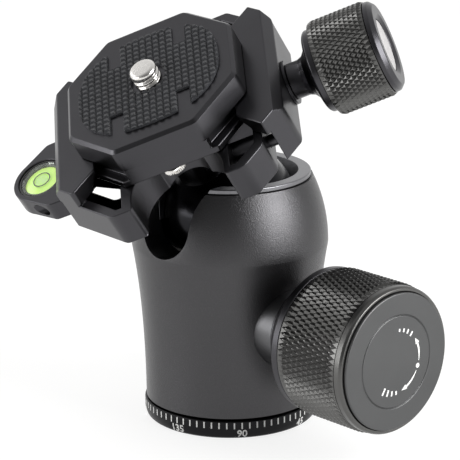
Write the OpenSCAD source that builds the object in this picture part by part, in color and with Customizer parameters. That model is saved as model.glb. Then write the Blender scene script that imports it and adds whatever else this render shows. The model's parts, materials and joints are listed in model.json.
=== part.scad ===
// Ball head for a tripod: degree base, panning housing, lockable ball, dovetail clamp and quick plate.
// Millimetres, +Z up. The origin is the centre of the base's underside, on the panning axis.
// Every z below the clamp is a height above the base's underside; every z of the clamp, the quick
// plate and the spirit level is a height above the ball's centre. s is a distance outwards.

/* [Pose] */
// Tilt of the head away from upright, towards the drop notch
tilt_deg = 36.4; // [0:0.1:38]
// Compass angle of the drop notch and of the tilt, from +X towards +Y
notch_az = -133.36; // [-180:0.01:180]
// Turn of the clamp about its own stem
twist_deg = 131.14; // [-180:0.01:180]
// Compass angle of the main lock knob
lock_az = -47.85; // [-80:0.01:-20]
// Compass angle of the small panning lock knob
pan_az = 90; // [60:1:120]

/* [Degree base] */
// Radius of the degree ring at its top edge
base_r = 20.4; // [20:0.1:25]
// How far the degree ring draws in where it stands
base_draw = 0.4; // [0:0.1:1]
// Height of the degree ring
base_h = 4.3; // [3.5:0.1:5.5]
// Radius of the brake drum above the degree ring
drum_r = 13; // [11:0.1:14]
// Height of the brake drum above the degree ring
drum_h = 8.7; // [7.8:0.1:10]
// Radius of the panning axle
axle_r = 7; // [5.8:0.1:8.4]
// Outer radius of the threaded steel bush for the tripod screw
bush_r = 6; // [5:0.1:7.2]
// Wall radius of the tripod screw hole (tap size of 3/8 inch, 16 threads to the inch)
tripod_hole_r = 3.97; // [3.5:0.01:4.2]
// Depth of the tripod screw hole
tripod_hole_h = 10; // [8:0.1:12]
// Thickness of the two thrust washers of the panning axle
washer_t = 0.8; // [0.5:0.1:1]
// How far the nut on the axle reaches beyond it
nut_w = 3; // [2:0.1:3.6]
// Thickness of that nut
nut_t = 2.4; // [2:0.1:3]

/* [Housing] */
// How far the housing's foot stands back from the degree ring's edge
foot_inset = 0.35; // [0:0.05:1]
// Thickness of the housing outside the ball, at its bulge
bulge_wall = 6.95; // [6:0.05:9]
// Depth of the bulge below the ball's centre
bulge_drop = 7.36; // [5:0.01:9]
// Radius of the arc from the bulge to the shoulder
shoulder_arc_r = 36; // [30:0.5:60]
// Depth of the housing's top edge below the collar's flat rim
shoulder_drop = 1.3; // [1.2:0.1:2]
// Thickness of the web that turns on the axle
web_t = 3; // [2.4:0.1:4]
// Gap between the degree ring and the housing
ring_seam = 0.5; // [0.3:0.05:1]

/* [Ball and socket] */
// Radius of the ball
ball_r = 16; // [13.3:0.1:19.2]
// Height of the ball's underside above the main lock's axis
ball_lift = 8.06; // [7:0.01:10]
// Radius of the ball's stem
stem_r = 6.1; // [5:0.1:7]
// How far the stem stands out of the ball
stem_h = 7.9; // [6.5:0.1:10]
// Width of the collar's flat rim
rim_w = 2.9; // [2.5:0.1:3.4]
// Height of the collar's flat rim above the ball's centre
rim_h = 9.64; // [8:0.01:11]
// Wall of the collar's sleeve inside the housing, outside the ball
sleeve_wall = 1.5; // [1.2:0.1:2]
// Room on each side of the stem in the drop notch
notch_room = 0.9; // [0.5:0.1:2]
// Depth of the centre of the notch's round bottom below the ball's centre
notch_drop = 0.16; // [0:0.01:1]
// How much the notch widens on each side towards the rim
notch_flare = 2.6; // [1:0.1:4]
// Wall of the floating socket ring
socket_ring_t = 1; // [0.8:0.1:1.2]
// Angle from upright at which the socket ring starts
socket_ring_from = 116; // [115:1:120]
// Angle from upright at which the socket ring ends
socket_ring_to = 134; // [130:1:134]
// Radius of the pressure cup under the ball
cup_r = 8; // [7:0.1:9]

/* [Main lock] */
// Height of the main lock's axis above the chamber of the axle's nut
lock_lift = 4.7; // [4.6:0.1:7]
// Radius of the wedge pin
wedge_r = 3.6; // [3:0.1:3.7]
// Slope of the wedge
wedge_deg = 20; // [15:1:25]
// Radius of the lock spindle (M8)
spindle_r = 4; // [3.3:0.05:4.8]
// Radius of the flange of the lock's bush
lock_flange_r = 9.6; // [8:0.1:11]
// How far that flange stands out of the housing
lock_flange_h = 3.64; // [2.5:0.01:5]
// Distance from the flange's front to the back of the knurl
lock_neck_l = 9.3; // [8:0.1:11]
// Radius of the knurled grip
lock_grip_r = 17.2; // [14.3:0.1:20.7]
// Length of the knurled grip
lock_grip_l = 17.5; // [14:0.1:21]
// Step from the knurl down to the smooth bezel in front of it
lock_bezel_step = 0.4; // [0.1:0.1:1]
// Depth of the bezel
lock_bezel_t = 2.1; // [1.5:0.1:3]
// Width of the bezel's front edge
lock_bezel_w = 1.14; // [1:0.01:3]
// How far the face disc stands out in front of the bezel
lock_face_proud = 0.7; // [0.2:0.1:1.5]
// Thickness of the face disc behind the bezel's front
lock_face_t = 2; // [1.2:0.1:2]
// Radius of the circular groove in the face disc
lock_groove_r = 10.6; // [8:0.1:12.5]

/* [Panning lock] */
// Depth of the panning lock's axis below the top of the brake drum
pan_drop = 2.5; // [2.5:0.1:4]
// Radius of the panning lock screw (M5)
pan_screw_r = 2.5; // [2:0.1:2.5]
// Radius of the panning lock's grip
pan_grip_r = 7.5; // [6:0.1:9]
// Gap between the degree ring's edge and the panning knob
pan_knob_gap = 1.2; // [0.8:0.1:3]
// Length of the panning knob
pan_knob_l = 12; // [9:0.5:16]

/* [Clamp] */
// Height of the clamp's floor above its underside
clamp_floor_h = 8.8; // [8.4:0.1:10]
// Height of the jaws' flat tops above the clamp's floor
jaw_h = 4.2; // [3.8:0.1:4.4]
// Distance from the dovetail's side to the fixed jaw's outer face
fixed_jaw_w = 8.5; // [7.5:0.1:11]
// Distance from the dovetail's side to the end of the clamp's body behind the moving jaw
screw_side_w = 2.1; // [1.8:0.1:3]
// Half the length of the clamp along the dovetail
clamp_half_l = 27; // [22.5:0.1:32.4]
// Size of the clamp's corner cuts
clamp_corner_cut = 11.9; // [9:0.1:13]
// Wall of the clamp around its pockets
clamp_wall = 2.1; // [1.6:0.1:2.5]
// Half the width of the open ends between the clamp's corner blocks
end_gap_half_w = 11; // [9:0.1:12]
// Depth of the open ends
end_gap_depth = 16.3; // [15:0.1:16.5]
// Distance from the dovetail's side to the moving jaw's outer face
moving_jaw_w = 8.4; // [7.4:0.1:11]
// Gap between the clamp and the moving jaw's lower part
jaw_gap = 2.2; // [1:0.1:2.4]
// Radius of the guide rods
rod_r = 1.4; // [1.2:0.1:1.8]
// Distance from the clamp's end to each guide rod
rod_inset = 10.5; // [9:0.1:11]
// Radius of the clamp screw (M6)
clamp_screw_r = 3; // [2.5:0.1:3.6]
// Height of the clamp screw's axis above the clamp's underside
clamp_screw_h = 4.14; // [4:0.01:4.8]

/* [Clamp knob] */
// Wall of the knob's neck around the clamp screw
neck_wall = 1.15; // [0.8:0.05:2]
// Distance from the moving jaw to the back of the knob's flange
knob_neck_l = 6.8; // [5:0.1:9]
// Thickness of the knob's flange
knob_flange_t = 2; // [1.5:0.1:3]
// Radius of the knurled grip
knob_grip_r = 11.05; // [9.2:0.05:13.3]
// Step from the knurl down to the flange
knob_flange_step = 1.45; // [0.5:0.05:2]
// Length of the knurled grip
knob_grip_l = 13; // [10.8:0.1:15.6]
// Depth of the rounded front rim
knob_rim_t = 2.1; // [2:0.1:3]
// Radius of the bright disc in the knob's end
knob_disc_r = 6; // [4:0.1:7.2]

/* [Quick plate] */
// Half the width of the dovetail at its foot
dovetail_half_w = 19; // [15.8:0.05:22.8]
// How far the plate reaches beyond the dovetail at each side
plate_overhang = 1.3; // [0.5:0.1:3]
// How far the clamp reaches beyond the plate at each end
plate_inset = 7.5; // [5:0.1:9]
// Size of the plate's corner cuts
plate_corner_cut = 10.5; // [9:0.1:12]
// Height of the plate from the dovetail's foot to its top
plate_h = 10.51; // [10:0.01:12.5]
// Thickness of the plate's upper part
plate_deck_t = 6.1; // [5:0.1:6.2]
// Half the width of the straight end skirts
skirt_half_w = 10; // [8:0.1:12]
// Height of the rubber pad above the plate
pad_h = 0.8; // [0.4:0.1:1.2]
// Distance from the plate's sides to the rubber pad
pad_inset_x = 3.3; // [2:0.1:6]
// Distance from the plate's ends to the rubber pad
pad_inset_y = 4.5; // [2:0.1:6]
// Radius of the camera screw (1/4 inch, 20 threads to the inch)
camera_screw_r = 3.175; // [3.1:0.005:3.3]
// How far the camera screw stands out of the plate
camera_screw_h = 3.9; // [3.5:0.1:6]
// Distance from the plate's end to each safety stop
stop_inset = 2.5; // [2.3:0.1:3]
// Radius of the safety stops' heads
stop_r = 2.8; // [2:0.1:3]

/* [Spirit level] */
// Distance from the fixed jaw's outer face to the level's centre
level_reach = 6.9; // [6:0.1:9]
// Radius of the level's round lobe
lobe_r = 6.9; // [6.5:0.1:8]
// Height of the lobe
lobe_h = 5; // [4.5:0.1:7]
// Wall of the lobe around the level
lobe_wall = 1.3; // [1:0.1:2]
// Wall of the level's cup around its liquid
level_wall = 1.3; // [0.9:0.1:2]

/* [Clearances] */
// Running clearance of shafts, pins and the ball
run_gap = 0.08; // [0.03:0.01:0.1]
// Clearance between pieces that are fixed to each other
seat_gap = 0.05; // [0.02:0.01:0.1]
// Gap between flat faces that move past each other
slip_gap = 0.1; // [0.05:0.01:0.2]
// Gap between the dovetail and its jaws
dovetail_gap = 0.2; // [0.05:0.05:0.2]
// Room around pieces that stay clear of a bore
bore_room = 0.3; // [0.2:0.05:0.5]

/* [Hidden] */

$fn = 96;
big = 200;
cut = 0.5;
edge = 0.2;

// heights along the panning axle
base_foot_r = base_r - base_draw;
foot_r = base_r - foot_inset;
nut_r = axle_r + nut_w;
drum_top = base_h + drum_h;
washer_lower_z = drum_top + slip_gap;
web_z = washer_lower_z + washer_t + slip_gap;
washer_upper_z = web_z + web_t + slip_gap;
nut_z = washer_upper_z + washer_t + slip_gap;
nut_chamber_top = nut_z + nut_t + bore_room;
housing_z0 = base_h + ring_seam;

// heights of the lock and the ball
lock_z = nut_chamber_top + lock_lift;
ball_z = lock_z + ball_lift + ball_r;
rim_z = ball_z + rim_h;
shoulder_z = rim_z - shoulder_drop;
bulge_r = ball_r + bulge_wall;
bulge_z = ball_z - bulge_drop;

function bezier(a, b, c, d, t) =
    pow(1 - t, 3) * a + 3 * pow(1 - t, 2) * t * b + 3 * (1 - t) * t * t * c + t * t * t * d;

// The flare from the foot to the bulge, as [radius, height].
flare_knee_z = bulge_z - 12.8;
flare_turn_z = bulge_z - 0.7;
flare_lean = 0.08;
function flare(t) = [
    bezier(foot_r, foot_r + flare_lean, bulge_r, bulge_r, t),
    bezier(housing_z0, flare_knee_z, flare_turn_z, bulge_z, t)];

// The arc from the bulge to the shoulder.
function shoulder_r(z) = bulge_r - shoulder_arc_r + sqrt(pow(shoulder_arc_r, 2) - pow(z - bulge_z, 2));

flare_steps = 20;
shoulder_steps = 10;
flare_points = [for (i = [0:flare_steps]) flare(i / flare_steps)];
shoulder_points = [for (i = [1:shoulder_steps])
    let (z = bulge_z + (shoulder_z - bulge_z) * i / shoulder_steps) [shoulder_r(z), z]];

// Outer radius of the flare at height z, read off its points.
function housing_r(z) = lookup(z, [for (p = flare_points) [p[1], p[0]]]);

// socket
seat_r = ball_r + run_gap;
socket_ring_r = seat_r + socket_ring_t;
pocket_r = socket_ring_r + run_gap;
cup_bore_r = cup_r + run_gap;
sleeve_r = ball_r + sleeve_wall;
sleeve_z0 = ball_z - 0.6;
mouth_r = ball_r;
rim_r = mouth_r + rim_w;
lip_in = 1.5;
retain_h = 3.5;
collar_flange_t = 1.1;
collar_flange_in = 0.7;
stem_top = ball_r + stem_h;
notch_half_w = stem_r + notch_room;
notch_z = ball_z - notch_drop;
notch_mouth_half_w = notch_half_w + notch_flare;

// main lock, measured outwards from the panning axis
wedge_s0 = -7;
wedge_s1 = 12.4;
ramp_s1 = 6;
ramp_reach = 15;
spindle_s0 = wedge_s1 + 2 * slip_gap;
spindle_grip = 6;
lock_shank_r = spindle_r + 2;
lock_flange_s = housing_r(lock_z) + lock_flange_h;
lock_counterbore_s = sqrt(pow(housing_r(lock_z), 2) - pow(lock_flange_r, 2)) - bore_room;
lock_washer_s = lock_flange_s + slip_gap;
lock_washer_t = 1.4;
lock_washer_step = 0.8;
lock_core_s0 = lock_washer_s + lock_washer_t + seat_gap;
lock_cone_r = lock_flange_r + 1.8;
lock_back_rim = 2;
lock_grip_s0 = lock_flange_s + lock_neck_l;
lock_grip_s1 = lock_grip_s0 + lock_grip_l;
lock_core_r = lock_grip_r - 2.6;
lock_bezel_r = lock_grip_r - lock_bezel_step;
lock_bezel_s0 = lock_grip_s1 + seat_gap;
lock_bezel_s1 = lock_bezel_s0 + lock_bezel_t;
lock_face_r = lock_bezel_r - lock_bezel_w;
lock_face_s0 = lock_bezel_s1 - lock_face_t;
lock_face_s1 = lock_bezel_s1 + lock_face_proud;
groove_half_w = 0.2;
groove_h = 0.25;

// panning lock
pan_z = drum_top - pan_drop;
pan_pad_s0 = drum_r + slip_gap;
pan_pad_s1 = pan_pad_s0 + 2.2;
pan_core_r = pan_grip_r - 1.6;
pan_knob_s0 = base_r + pan_knob_gap;
pan_knob_s1 = pan_knob_s0 + pan_knob_l;
pan_grip_s0 = pan_knob_s0 + 2.5;
pan_face_s0 = pan_knob_s1 - 1.1;
pan_screw_s1 = pan_knob_s0 + 6;

// clamp: heights above the ball's centre, distances from the stem's axis
clamp_z0 = stem_top + slip_gap;
floor_z = clamp_z0 + clamp_floor_h;
jaw_z = floor_z + jaw_h;
clamp_left = dovetail_half_w + fixed_jaw_w;
clamp_right = dovetail_half_w + screw_side_w;
clamp_corner = clamp_left + clamp_half_l - clamp_corner_cut;
screw_corner = clamp_corner + 0.5;
jaw_corner = clamp_corner + 0.6;
end_gap_y = clamp_half_l - end_gap_depth;
jaw_out = dovetail_half_w + moving_jaw_w;
jaw_in = clamp_right + jaw_gap;
rod_y = clamp_half_l - rod_inset;
rod_wall = 0.6;
rod_depth = min(jaw_out, jaw_corner - rod_y - rod_r) - rod_wall;
clamp_screw_z = clamp_z0 + clamp_screw_h;
plate_z0 = floor_z + 0.15;
plate_z1 = plate_z0 + plate_h;
deck_z0 = plate_z1 - plate_deck_t;
lip_root = dovetail_half_w - 2.3;
lip_tip = lip_root + 0.5;
lip_side = dovetail_half_w + dovetail_gap;
rail_top = plate_z0 + 0.8;
jaw_lip_z = floor_z + 0.2;
jaw_bevel = 2.4;
jaw_bevel_w = 1.9;
lead_in = 2.2;
lead_in_fixed = 3;
bolt_head_r = 5;
bolt_head_t = 3.2;
bolt_sink = 0.2;
bolt_shank_r = 3;
bolt_s0 = stem_top - 8.9;
bolt_hex_r = 2.3;
bolt_hex_h = 2;
rod_boss_r = rod_r + 1.3;

// clamp knob, measured along the clamp screw
clamp_screw_s0 = 9;
clamp_washer_t = 0.6;
clamp_washer_s0 = jaw_out + slip_gap;
neck_s0 = clamp_washer_s0 + clamp_washer_t + seat_gap;
neck_r = clamp_screw_r + neck_wall;
knob_flange_s = jaw_out + knob_neck_l;
knob_flange_r = knob_grip_r - knob_flange_step;
knob_grip_s0 = knob_flange_s + knob_flange_t;
knob_grip_s1 = knob_grip_s0 + knob_grip_l;
knob_core_r = knob_grip_r - 1.9;
knob_end_s = knob_grip_s1 + knob_rim_t;
knob_disc_s0 = knob_end_s - 1.75;

// quick plate
plate_half_w = dovetail_half_w + plate_overhang;
plate_half_l = clamp_half_l - plate_inset;
plate_corner = plate_half_w + plate_half_l - plate_corner_cut;
rail_corner = plate_corner + 1.7;
rail_corner_step = 3.2;
rail_step_h = 0.9;
plate_bevel = 0.4;
pad_half_w = plate_half_w - pad_inset_x;
pad_half_l = plate_half_l - pad_inset_y;
pad_roundness = 0.8;
stop_y = plate_half_l - stop_inset;
stop_shank_r = 1.3;
camera_flange_r = 6;
stud_shank_r = camera_screw_r - 0.3;
clip_r = 5.2;
clip_z0 = plate_z0 + 2.4;

// spirit level
level_x = clamp_left + level_reach;
lobe_z1 = clamp_z0 + lobe_h;
level_r = lobe_r - lobe_wall;
level_liquid_r = level_r - level_wall;
level_floor_z = clamp_z0 + 1;
level_window_t = 0.5;
level_window_z1 = lobe_z1 - 0.4;
set_screw_r = 1.55;
set_screw_wall = 0.85;
set_screw_y = level_r + set_screw_wall + set_screw_r + 2 * seat_gap;
set_screw_s0 = clamp_left + 0.5;
set_screw_s1 = set_screw_s0 + 5;

// -------------------------------------------------------------------------- frames and helpers

// Moves children from the clamp's own frame (origin at the ball's centre, z along the stem).
module on_ball() {
    translate([0, 0, ball_z])
        rotate([0, 0, notch_az])
            rotate([0, tilt_deg, 0])
                rotate([0, 0, twist_deg])
                    children();
}

// Turns children so that their z axis points outwards at compass angle az and height z.
module outwards(az, z) {
    translate([0, 0, z])
        rotate([0, 0, az])
            rotate([0, 90, 0])
                children();
}

// Places children so that their z axis is the clamp screw's axis.
module on_clamp_screw() {
    on_ball()
        translate([0, 0, clamp_screw_z])
            rotate([0, 90, 0])
                children();
}

module tube(r, hole_r, z0, z1) {
    difference() {
        translate([0, 0, z0]) cylinder(r = r, h = z1 - z0);
        translate([0, 0, z0 - cut]) cylinder(r = hole_r, h = z1 - z0 + 2 * cut);
    }
}

module rod(r, z0, z1) {
    translate([0, 0, z0]) cylinder(r = r, h = z1 - z0);
}

// A plate of the given outline between two heights.
module slab(points, z0, z1) {
    translate([0, 0, z0]) linear_extrude(z1 - z0) polygon(points);
}

// An octagon of half sizes a and b, whose corners are cut at |x| + |y| = c.
function octagon(a, b, c) = [
    [a, c - a], [c - b, b], [b - c, b], [-a, c - a],
    [-a, a - c], [b - c, -b], [c - b, -b], [a, a - c]];

// A square standing on its corner, |x| + |y| = c.
function diamond(c) = [[c, 0], [0, c], [-c, 0], [0, -c]];

// A rectangle of half sizes a and b.
function rectangle(a, b) = [[a, b], [-a, b], [-a, -b], [a, -b]];

// -------------------------------------------------------------------------- base

module degree_base() {
    color([0.11, 0.11, 0.12])
        difference() {
            union() {
                rotate_extrude()
                    polygon([[0, 0], [base_foot_r - 2 * edge, 0], [base_foot_r, 2 * edge],
                        [base_r, 8 * edge], [base_r, base_h - edge], [base_r - edge, base_h], [0, base_h]]);
                rod(drum_r, base_h - cut, drum_top);
                rod(axle_r, drum_top - cut, nut_z + nut_t);
            }
            translate([0, 0, -cut]) cylinder(r = bush_r + seat_gap, h = tripod_hole_h + cut);
        }
}

module tripod_bush() {
    color([0.72, 0.66, 0.48])
        difference() {
            rod(bush_r, 0, tripod_hole_h - seat_gap);
            translate([0, 0, -cut]) cylinder(r = tripod_hole_r, h = tripod_hole_h + 2 * cut);
        }
}

module pan_washer_lower() {
    color([0.92, 0.92, 0.88]) tube(drum_r - cut, axle_r + run_gap, washer_lower_z, washer_lower_z + washer_t);
}

module pan_washer_upper() {
    color([0.92, 0.92, 0.88]) tube(nut_r, axle_r + run_gap, washer_upper_z, washer_upper_z + washer_t);
}

slot_w = 2;
module axle_nut() {
    color([0.6, 0.6, 0.62])
        difference() {
            tube(nut_r, axle_r + seat_gap, nut_z, nut_z + nut_t);
            // four slots for a pin spanner
            for (a = [45:90:315])
                rotate([0, 0, a])
                    translate([nut_r - 0.6 * slot_w, -slot_w / 2, nut_z + nut_t - 0.6 * slot_w]) cube(slot_w);
        }
}

// -------------------------------------------------------------------------- housing

// One side of the drop notch, from its round bottom up past the rim.
notch_side = [
    [notch_half_w, notch_z], [notch_half_w + 0.45, notch_z + 5], [notch_half_w + 1.2, shoulder_z - 1.2],
    [notch_mouth_half_w, rim_z + 0.4], [notch_mouth_half_w, rim_z + big]];
module notch() {
    rotate([0, 0, notch_az])
        rotate([90, 0, 90])
            linear_extrude(big) {
                translate([0, notch_z]) circle(r = notch_half_w);
                polygon(concat([for (p = notch_side) [p[0], p[1]]],
                    [for (i = [len(notch_side) - 1:-1:0]) [-notch_side[i][0], notch_side[i][1]]]));
            }
}

module housing() {
    color([0.33, 0.32, 0.33])
        difference() {
            rotate_extrude()
                polygon(concat([[0, housing_z0]], flare_points, shoulder_points, [[0, shoulder_z]]));
            // panning parts
            rod(drum_r + bore_room, 0, web_z);
            rod(axle_r + run_gap, 0, nut_z);
            rod(nut_r + bore_room, web_z + web_t, nut_chamber_top);
            // socket
            rod(cup_bore_r, nut_chamber_top - cut,
                ball_z - sqrt(pow(pocket_r, 2) - pow(cup_bore_r, 2)) + cut);
            translate([0, 0, ball_z]) sphere(r = pocket_r);
            rod(sleeve_r + seat_gap, sleeve_z0 - slip_gap, rim_z);
            notch();
            // main lock
            outwards(lock_az, lock_z) {
                rod(wedge_r + run_gap, 0, wedge_s1 + 1);
                rod(lock_shank_r + seat_gap, wedge_s1, big);
                rod(lock_flange_r + seat_gap, lock_counterbore_s, big);
            }
            // panning lock
            outwards(pan_az, pan_z) rod(pan_screw_r + run_gap, 0, big);
        }
}

module collar() {
    color([0.62, 0.62, 0.66])
        difference() {
            rotate_extrude()
                polygon([[seat_r - lip_in, sleeve_z0], [sleeve_r, sleeve_z0],
                    [sleeve_r, shoulder_z + seat_gap], [rim_r - collar_flange_in, shoulder_z + seat_gap],
                    [rim_r - collar_flange_in, rim_z - collar_flange_t], [rim_r, rim_z - collar_flange_t],
                    [rim_r, rim_z - edge], [rim_r - edge, rim_z], [mouth_r, rim_z],
                    [seat_r - lip_in, ball_z + retain_h]]);
            translate([0, 0, ball_z]) sphere(r = seat_r);
            notch();
        }
}

module lock_bush() {
    color([0.25, 0.25, 0.26])
        outwards(lock_az, lock_z)
            difference() {
                union() {
                    rod(lock_shank_r, wedge_s1 + seat_gap, lock_counterbore_s + 1);
                    rotate_extrude()
                        polygon([[0, lock_counterbore_s + seat_gap],
                            [lock_flange_r, lock_counterbore_s + seat_gap],
                            [lock_flange_r, lock_flange_s - 3 * edge],
                            [lock_flange_r - 3 * edge, lock_flange_s],
                            [0, lock_flange_s]]);
                }
                rod(spindle_r + run_gap, 0, big);
            }
}

// -------------------------------------------------------------------------- ball and its brake

module socket_ring() {
    color([0.85, 0.84, 0.8])
        translate([0, 0, ball_z])
            difference() {
                sphere(r = socket_ring_r);
                sphere(r = seat_r);
                // what lies above the ring's upper cone and below its lower cone
                rotate_extrude()
                    polygon([[0, 0], [0, big], [big, big],
                        [big * sin(socket_ring_from), big * cos(socket_ring_from)]]);
                rotate_extrude()
                    polygon([[0, 0], [big * sin(socket_ring_to), big * cos(socket_ring_to)],
                        [big, -2 * big], [0, -2 * big]]);
            }
}

module ball_stem() {
    color([0.09, 0.09, 0.1])
        on_ball()
            difference() {
                union() {
                    sphere(r = ball_r);
                    rod(stem_r, 0, stem_top);
                }
                rod(bolt_shank_r + seat_gap, bolt_s0 - 1, big);
            }
}

// Height of the wedge's ramp at distance s from the panning axis.
function ramp_z(s) = wedge_r + (s - ramp_s1) * tan(wedge_deg);

module pressure_cup() {
    color([0.88, 0.87, 0.82])
        difference() {
            rod(cup_r, nut_chamber_top + 2 * bore_room, ball_z - seat_r * sqrt(3) / 2);
            translate([0, 0, ball_z]) sphere(r = seat_r);
            outwards(lock_az, lock_z)
                rotate([90, 0, 0])
                    translate([0, 0, -big / 2])
                        linear_extrude(big)
                            polygon([[-ramp_z(-ramp_reach) - slip_gap, -ramp_reach],
                                [-ramp_z(ramp_reach) - slip_gap, ramp_reach],
                                [big, ramp_reach], [big, -ramp_reach]]);
        }
}

module wedge_pin() {
    color([0.7, 0.6, 0.35])
        outwards(lock_az, lock_z)
            difference() {
                rod(wedge_r, wedge_s0, wedge_s1);
                rotate([90, 0, 0])
                    translate([0, 0, -big / 2])
                        linear_extrude(big)
                            polygon([[-ramp_z(-ramp_reach), -ramp_reach], [-ramp_z(ramp_s1), ramp_s1],
                                [-big, ramp_s1], [-big, -ramp_reach]]);
            }
}

// -------------------------------------------------------------------------- main lock knob

module lock_spindle() {
    color([0.7, 0.7, 0.72]) outwards(lock_az, lock_z) rod(spindle_r, spindle_s0, lock_grip_s0 + spindle_grip);
}

module lock_washer() {
    color([0.3, 0.3, 0.31])
        outwards(lock_az, lock_z)
            tube(lock_flange_r + lock_washer_step, spindle_r + seat_gap, lock_washer_s,
                lock_washer_s + lock_washer_t);
}

module lock_knob_core() {
    color([0.2, 0.2, 0.21])
        outwards(lock_az, lock_z)
            difference() {
                rotate_extrude()
                    polygon([[0, lock_core_s0], [lock_cone_r, lock_core_s0],
                        [lock_bezel_r, lock_grip_s0 - lock_back_rim], [lock_bezel_r, lock_grip_s0 - edge],
                        [lock_core_r, lock_grip_s0 - edge], [lock_core_r, lock_face_s0 - slip_gap],
                        [0, lock_face_s0 - slip_gap]]);
                rod(spindle_r + seat_gap, 0, lock_grip_s0 + spindle_grip + seat_gap);
            }
}

module lock_knob_grip() {
    color([0.27, 0.27, 0.28])
        outwards(lock_az, lock_z) tube(lock_grip_r, lock_core_r + seat_gap, lock_grip_s0, lock_grip_s1);
}

module lock_knob_bezel() {
    color([0.25, 0.25, 0.26])
        outwards(lock_az, lock_z)
            rotate_extrude()
                polygon([[lock_face_r + slip_gap, lock_bezel_s0], [lock_bezel_r, lock_bezel_s0],
                    [lock_bezel_r, lock_bezel_s1 - 3 * edge], [lock_bezel_r - 2 * edge, lock_bezel_s1],
                    [lock_face_r + slip_gap, lock_bezel_s1]]);
}

module lock_knob_face() {
    color([0.42, 0.42, 0.43])
        outwards(lock_az, lock_z)
            rotate_extrude()
                polygon([[0, lock_face_s0], [lock_face_r, lock_face_s0],
                    [lock_face_r, lock_face_s1 - edge], [lock_face_r - edge, lock_face_s1],
                    [lock_groove_r + groove_half_w, lock_face_s1], [lock_groove_r, lock_face_s1 - groove_h],
                    [lock_groove_r - groove_half_w, lock_face_s1], [0, lock_face_s1]]);
}

// -------------------------------------------------------------------------- panning lock

module pan_brake_pad() {
    color([0.75, 0.62, 0.32])
        difference() {
            outwards(pan_az, pan_z) rod(pan_screw_r - seat_gap, drum_r / 2, pan_pad_s1);
            // the pad's face follows the brake drum
            rod(pan_pad_s0, 0, big);
        }
}

module pan_screw() {
    color([0.7, 0.7, 0.72])
        outwards(pan_az, pan_z) rod(pan_screw_r, pan_pad_s1 + slip_gap, pan_screw_s1);
}

module pan_knob_core() {
    color([0.2, 0.2, 0.21])
        outwards(pan_az, pan_z)
            difference() {
                rotate_extrude()
                    polygon([[0, pan_knob_s0], [0.68 * pan_grip_r, pan_knob_s0],
                        [pan_grip_r - 2 * edge, pan_grip_s0 - 3.5 * edge],
                        [pan_grip_r - 2 * edge, pan_grip_s0 - slip_gap], [pan_core_r, pan_grip_s0 - slip_gap],
                        [pan_core_r, pan_face_s0 - slip_gap], [0, pan_face_s0 - slip_gap]]);
                rod(pan_screw_r + seat_gap, 0, pan_screw_s1 + seat_gap);
            }
}

module pan_knob_grip() {
    color([0.27, 0.27, 0.28])
        outwards(pan_az, pan_z)
            tube(pan_grip_r, pan_core_r + seat_gap, pan_grip_s0, pan_knob_s1 - 1);
}

module pan_knob_face() {
    color([0.42, 0.42, 0.43])
        outwards(pan_az, pan_z)
            rotate_extrude()
                polygon([[0, pan_face_s0], [pan_core_r, pan_face_s0],
                    [pan_core_r, pan_face_s0 + edge], [pan_grip_r - 2 * edge, pan_face_s0 + edge],
                    [pan_grip_r - 2 * edge, pan_knob_s1 - 2 * edge], [pan_grip_r - 4 * edge, pan_knob_s1],
                    [0, pan_knob_s1]]);
}

// -------------------------------------------------------------------------- clamp

clamp_outline = [
    [clamp_right, screw_corner - clamp_right], [screw_corner - clamp_half_l, clamp_half_l],
    [clamp_half_l - clamp_corner, clamp_half_l], [-clamp_left, clamp_corner - clamp_left],
    [-clamp_left, clamp_left - clamp_corner], [clamp_half_l - clamp_corner, -clamp_half_l],
    [screw_corner - clamp_half_l, -clamp_half_l], [clamp_right, clamp_right - screw_corner]];

// The open end between two corner blocks: a wide bay that narrows to a small round bay at the hub.
bay_r = end_gap_half_w;
bay_y = end_gap_y + 2.3 + bay_r;
bay_x = 0.5;
small_bay_r = bay_r / 2;
module end_bay() {
    translate([bay_x, -bay_y]) circle(r = bay_r);
    translate([bay_x - bay_r, -bay_y - bay_r]) square([2 * bay_r, bay_r]);
    translate([bay_x, -end_gap_y - small_bay_r]) circle(r = small_bay_r);
}

// Pocket behind the walls of a corner block. The one by the fixed jaw ends at a slanted hub wall, and
// has a floor with a slot along that wall; the one by the screw is open below.
inner_wall_x = bay_r + clamp_wall;
pocket_corner = clamp_corner - 1.5 * clamp_wall;
pocket_far = clamp_half_l - clamp_wall;
fixed_pocket_x = clamp_left - clamp_wall;
fixed_pocket_y = 4;
fixed_pocket_hub = inner_wall_x + 11.9;
fixed_pocket_outline = [
    [-fixed_pocket_x, -fixed_pocket_y], [-fixed_pocket_x, fixed_pocket_x - pocket_corner],
    [pocket_far - pocket_corner, -pocket_far], [-inner_wall_x, -pocket_far],
    [-inner_wall_x, inner_wall_x - fixed_pocket_hub], [fixed_pocket_y - fixed_pocket_hub, -fixed_pocket_y]];
screw_pocket_x = clamp_right - clamp_wall;
screw_pocket_y = 9;
bay_shoulder_l = 7.9;
hub_wall_x = 10.5;
hub_wall_l = 3;
screw_pocket_outline = [
    [screw_pocket_x, -screw_pocket_y], [screw_pocket_x, screw_pocket_x - pocket_corner],
    [pocket_corner - pocket_far, -pocket_far], [inner_wall_x, -pocket_far],
    [inner_wall_x, bay_shoulder_l - pocket_far], [hub_wall_x, -screw_pocket_y - hub_wall_l],
    [hub_wall_x, -screw_pocket_y]];

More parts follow.
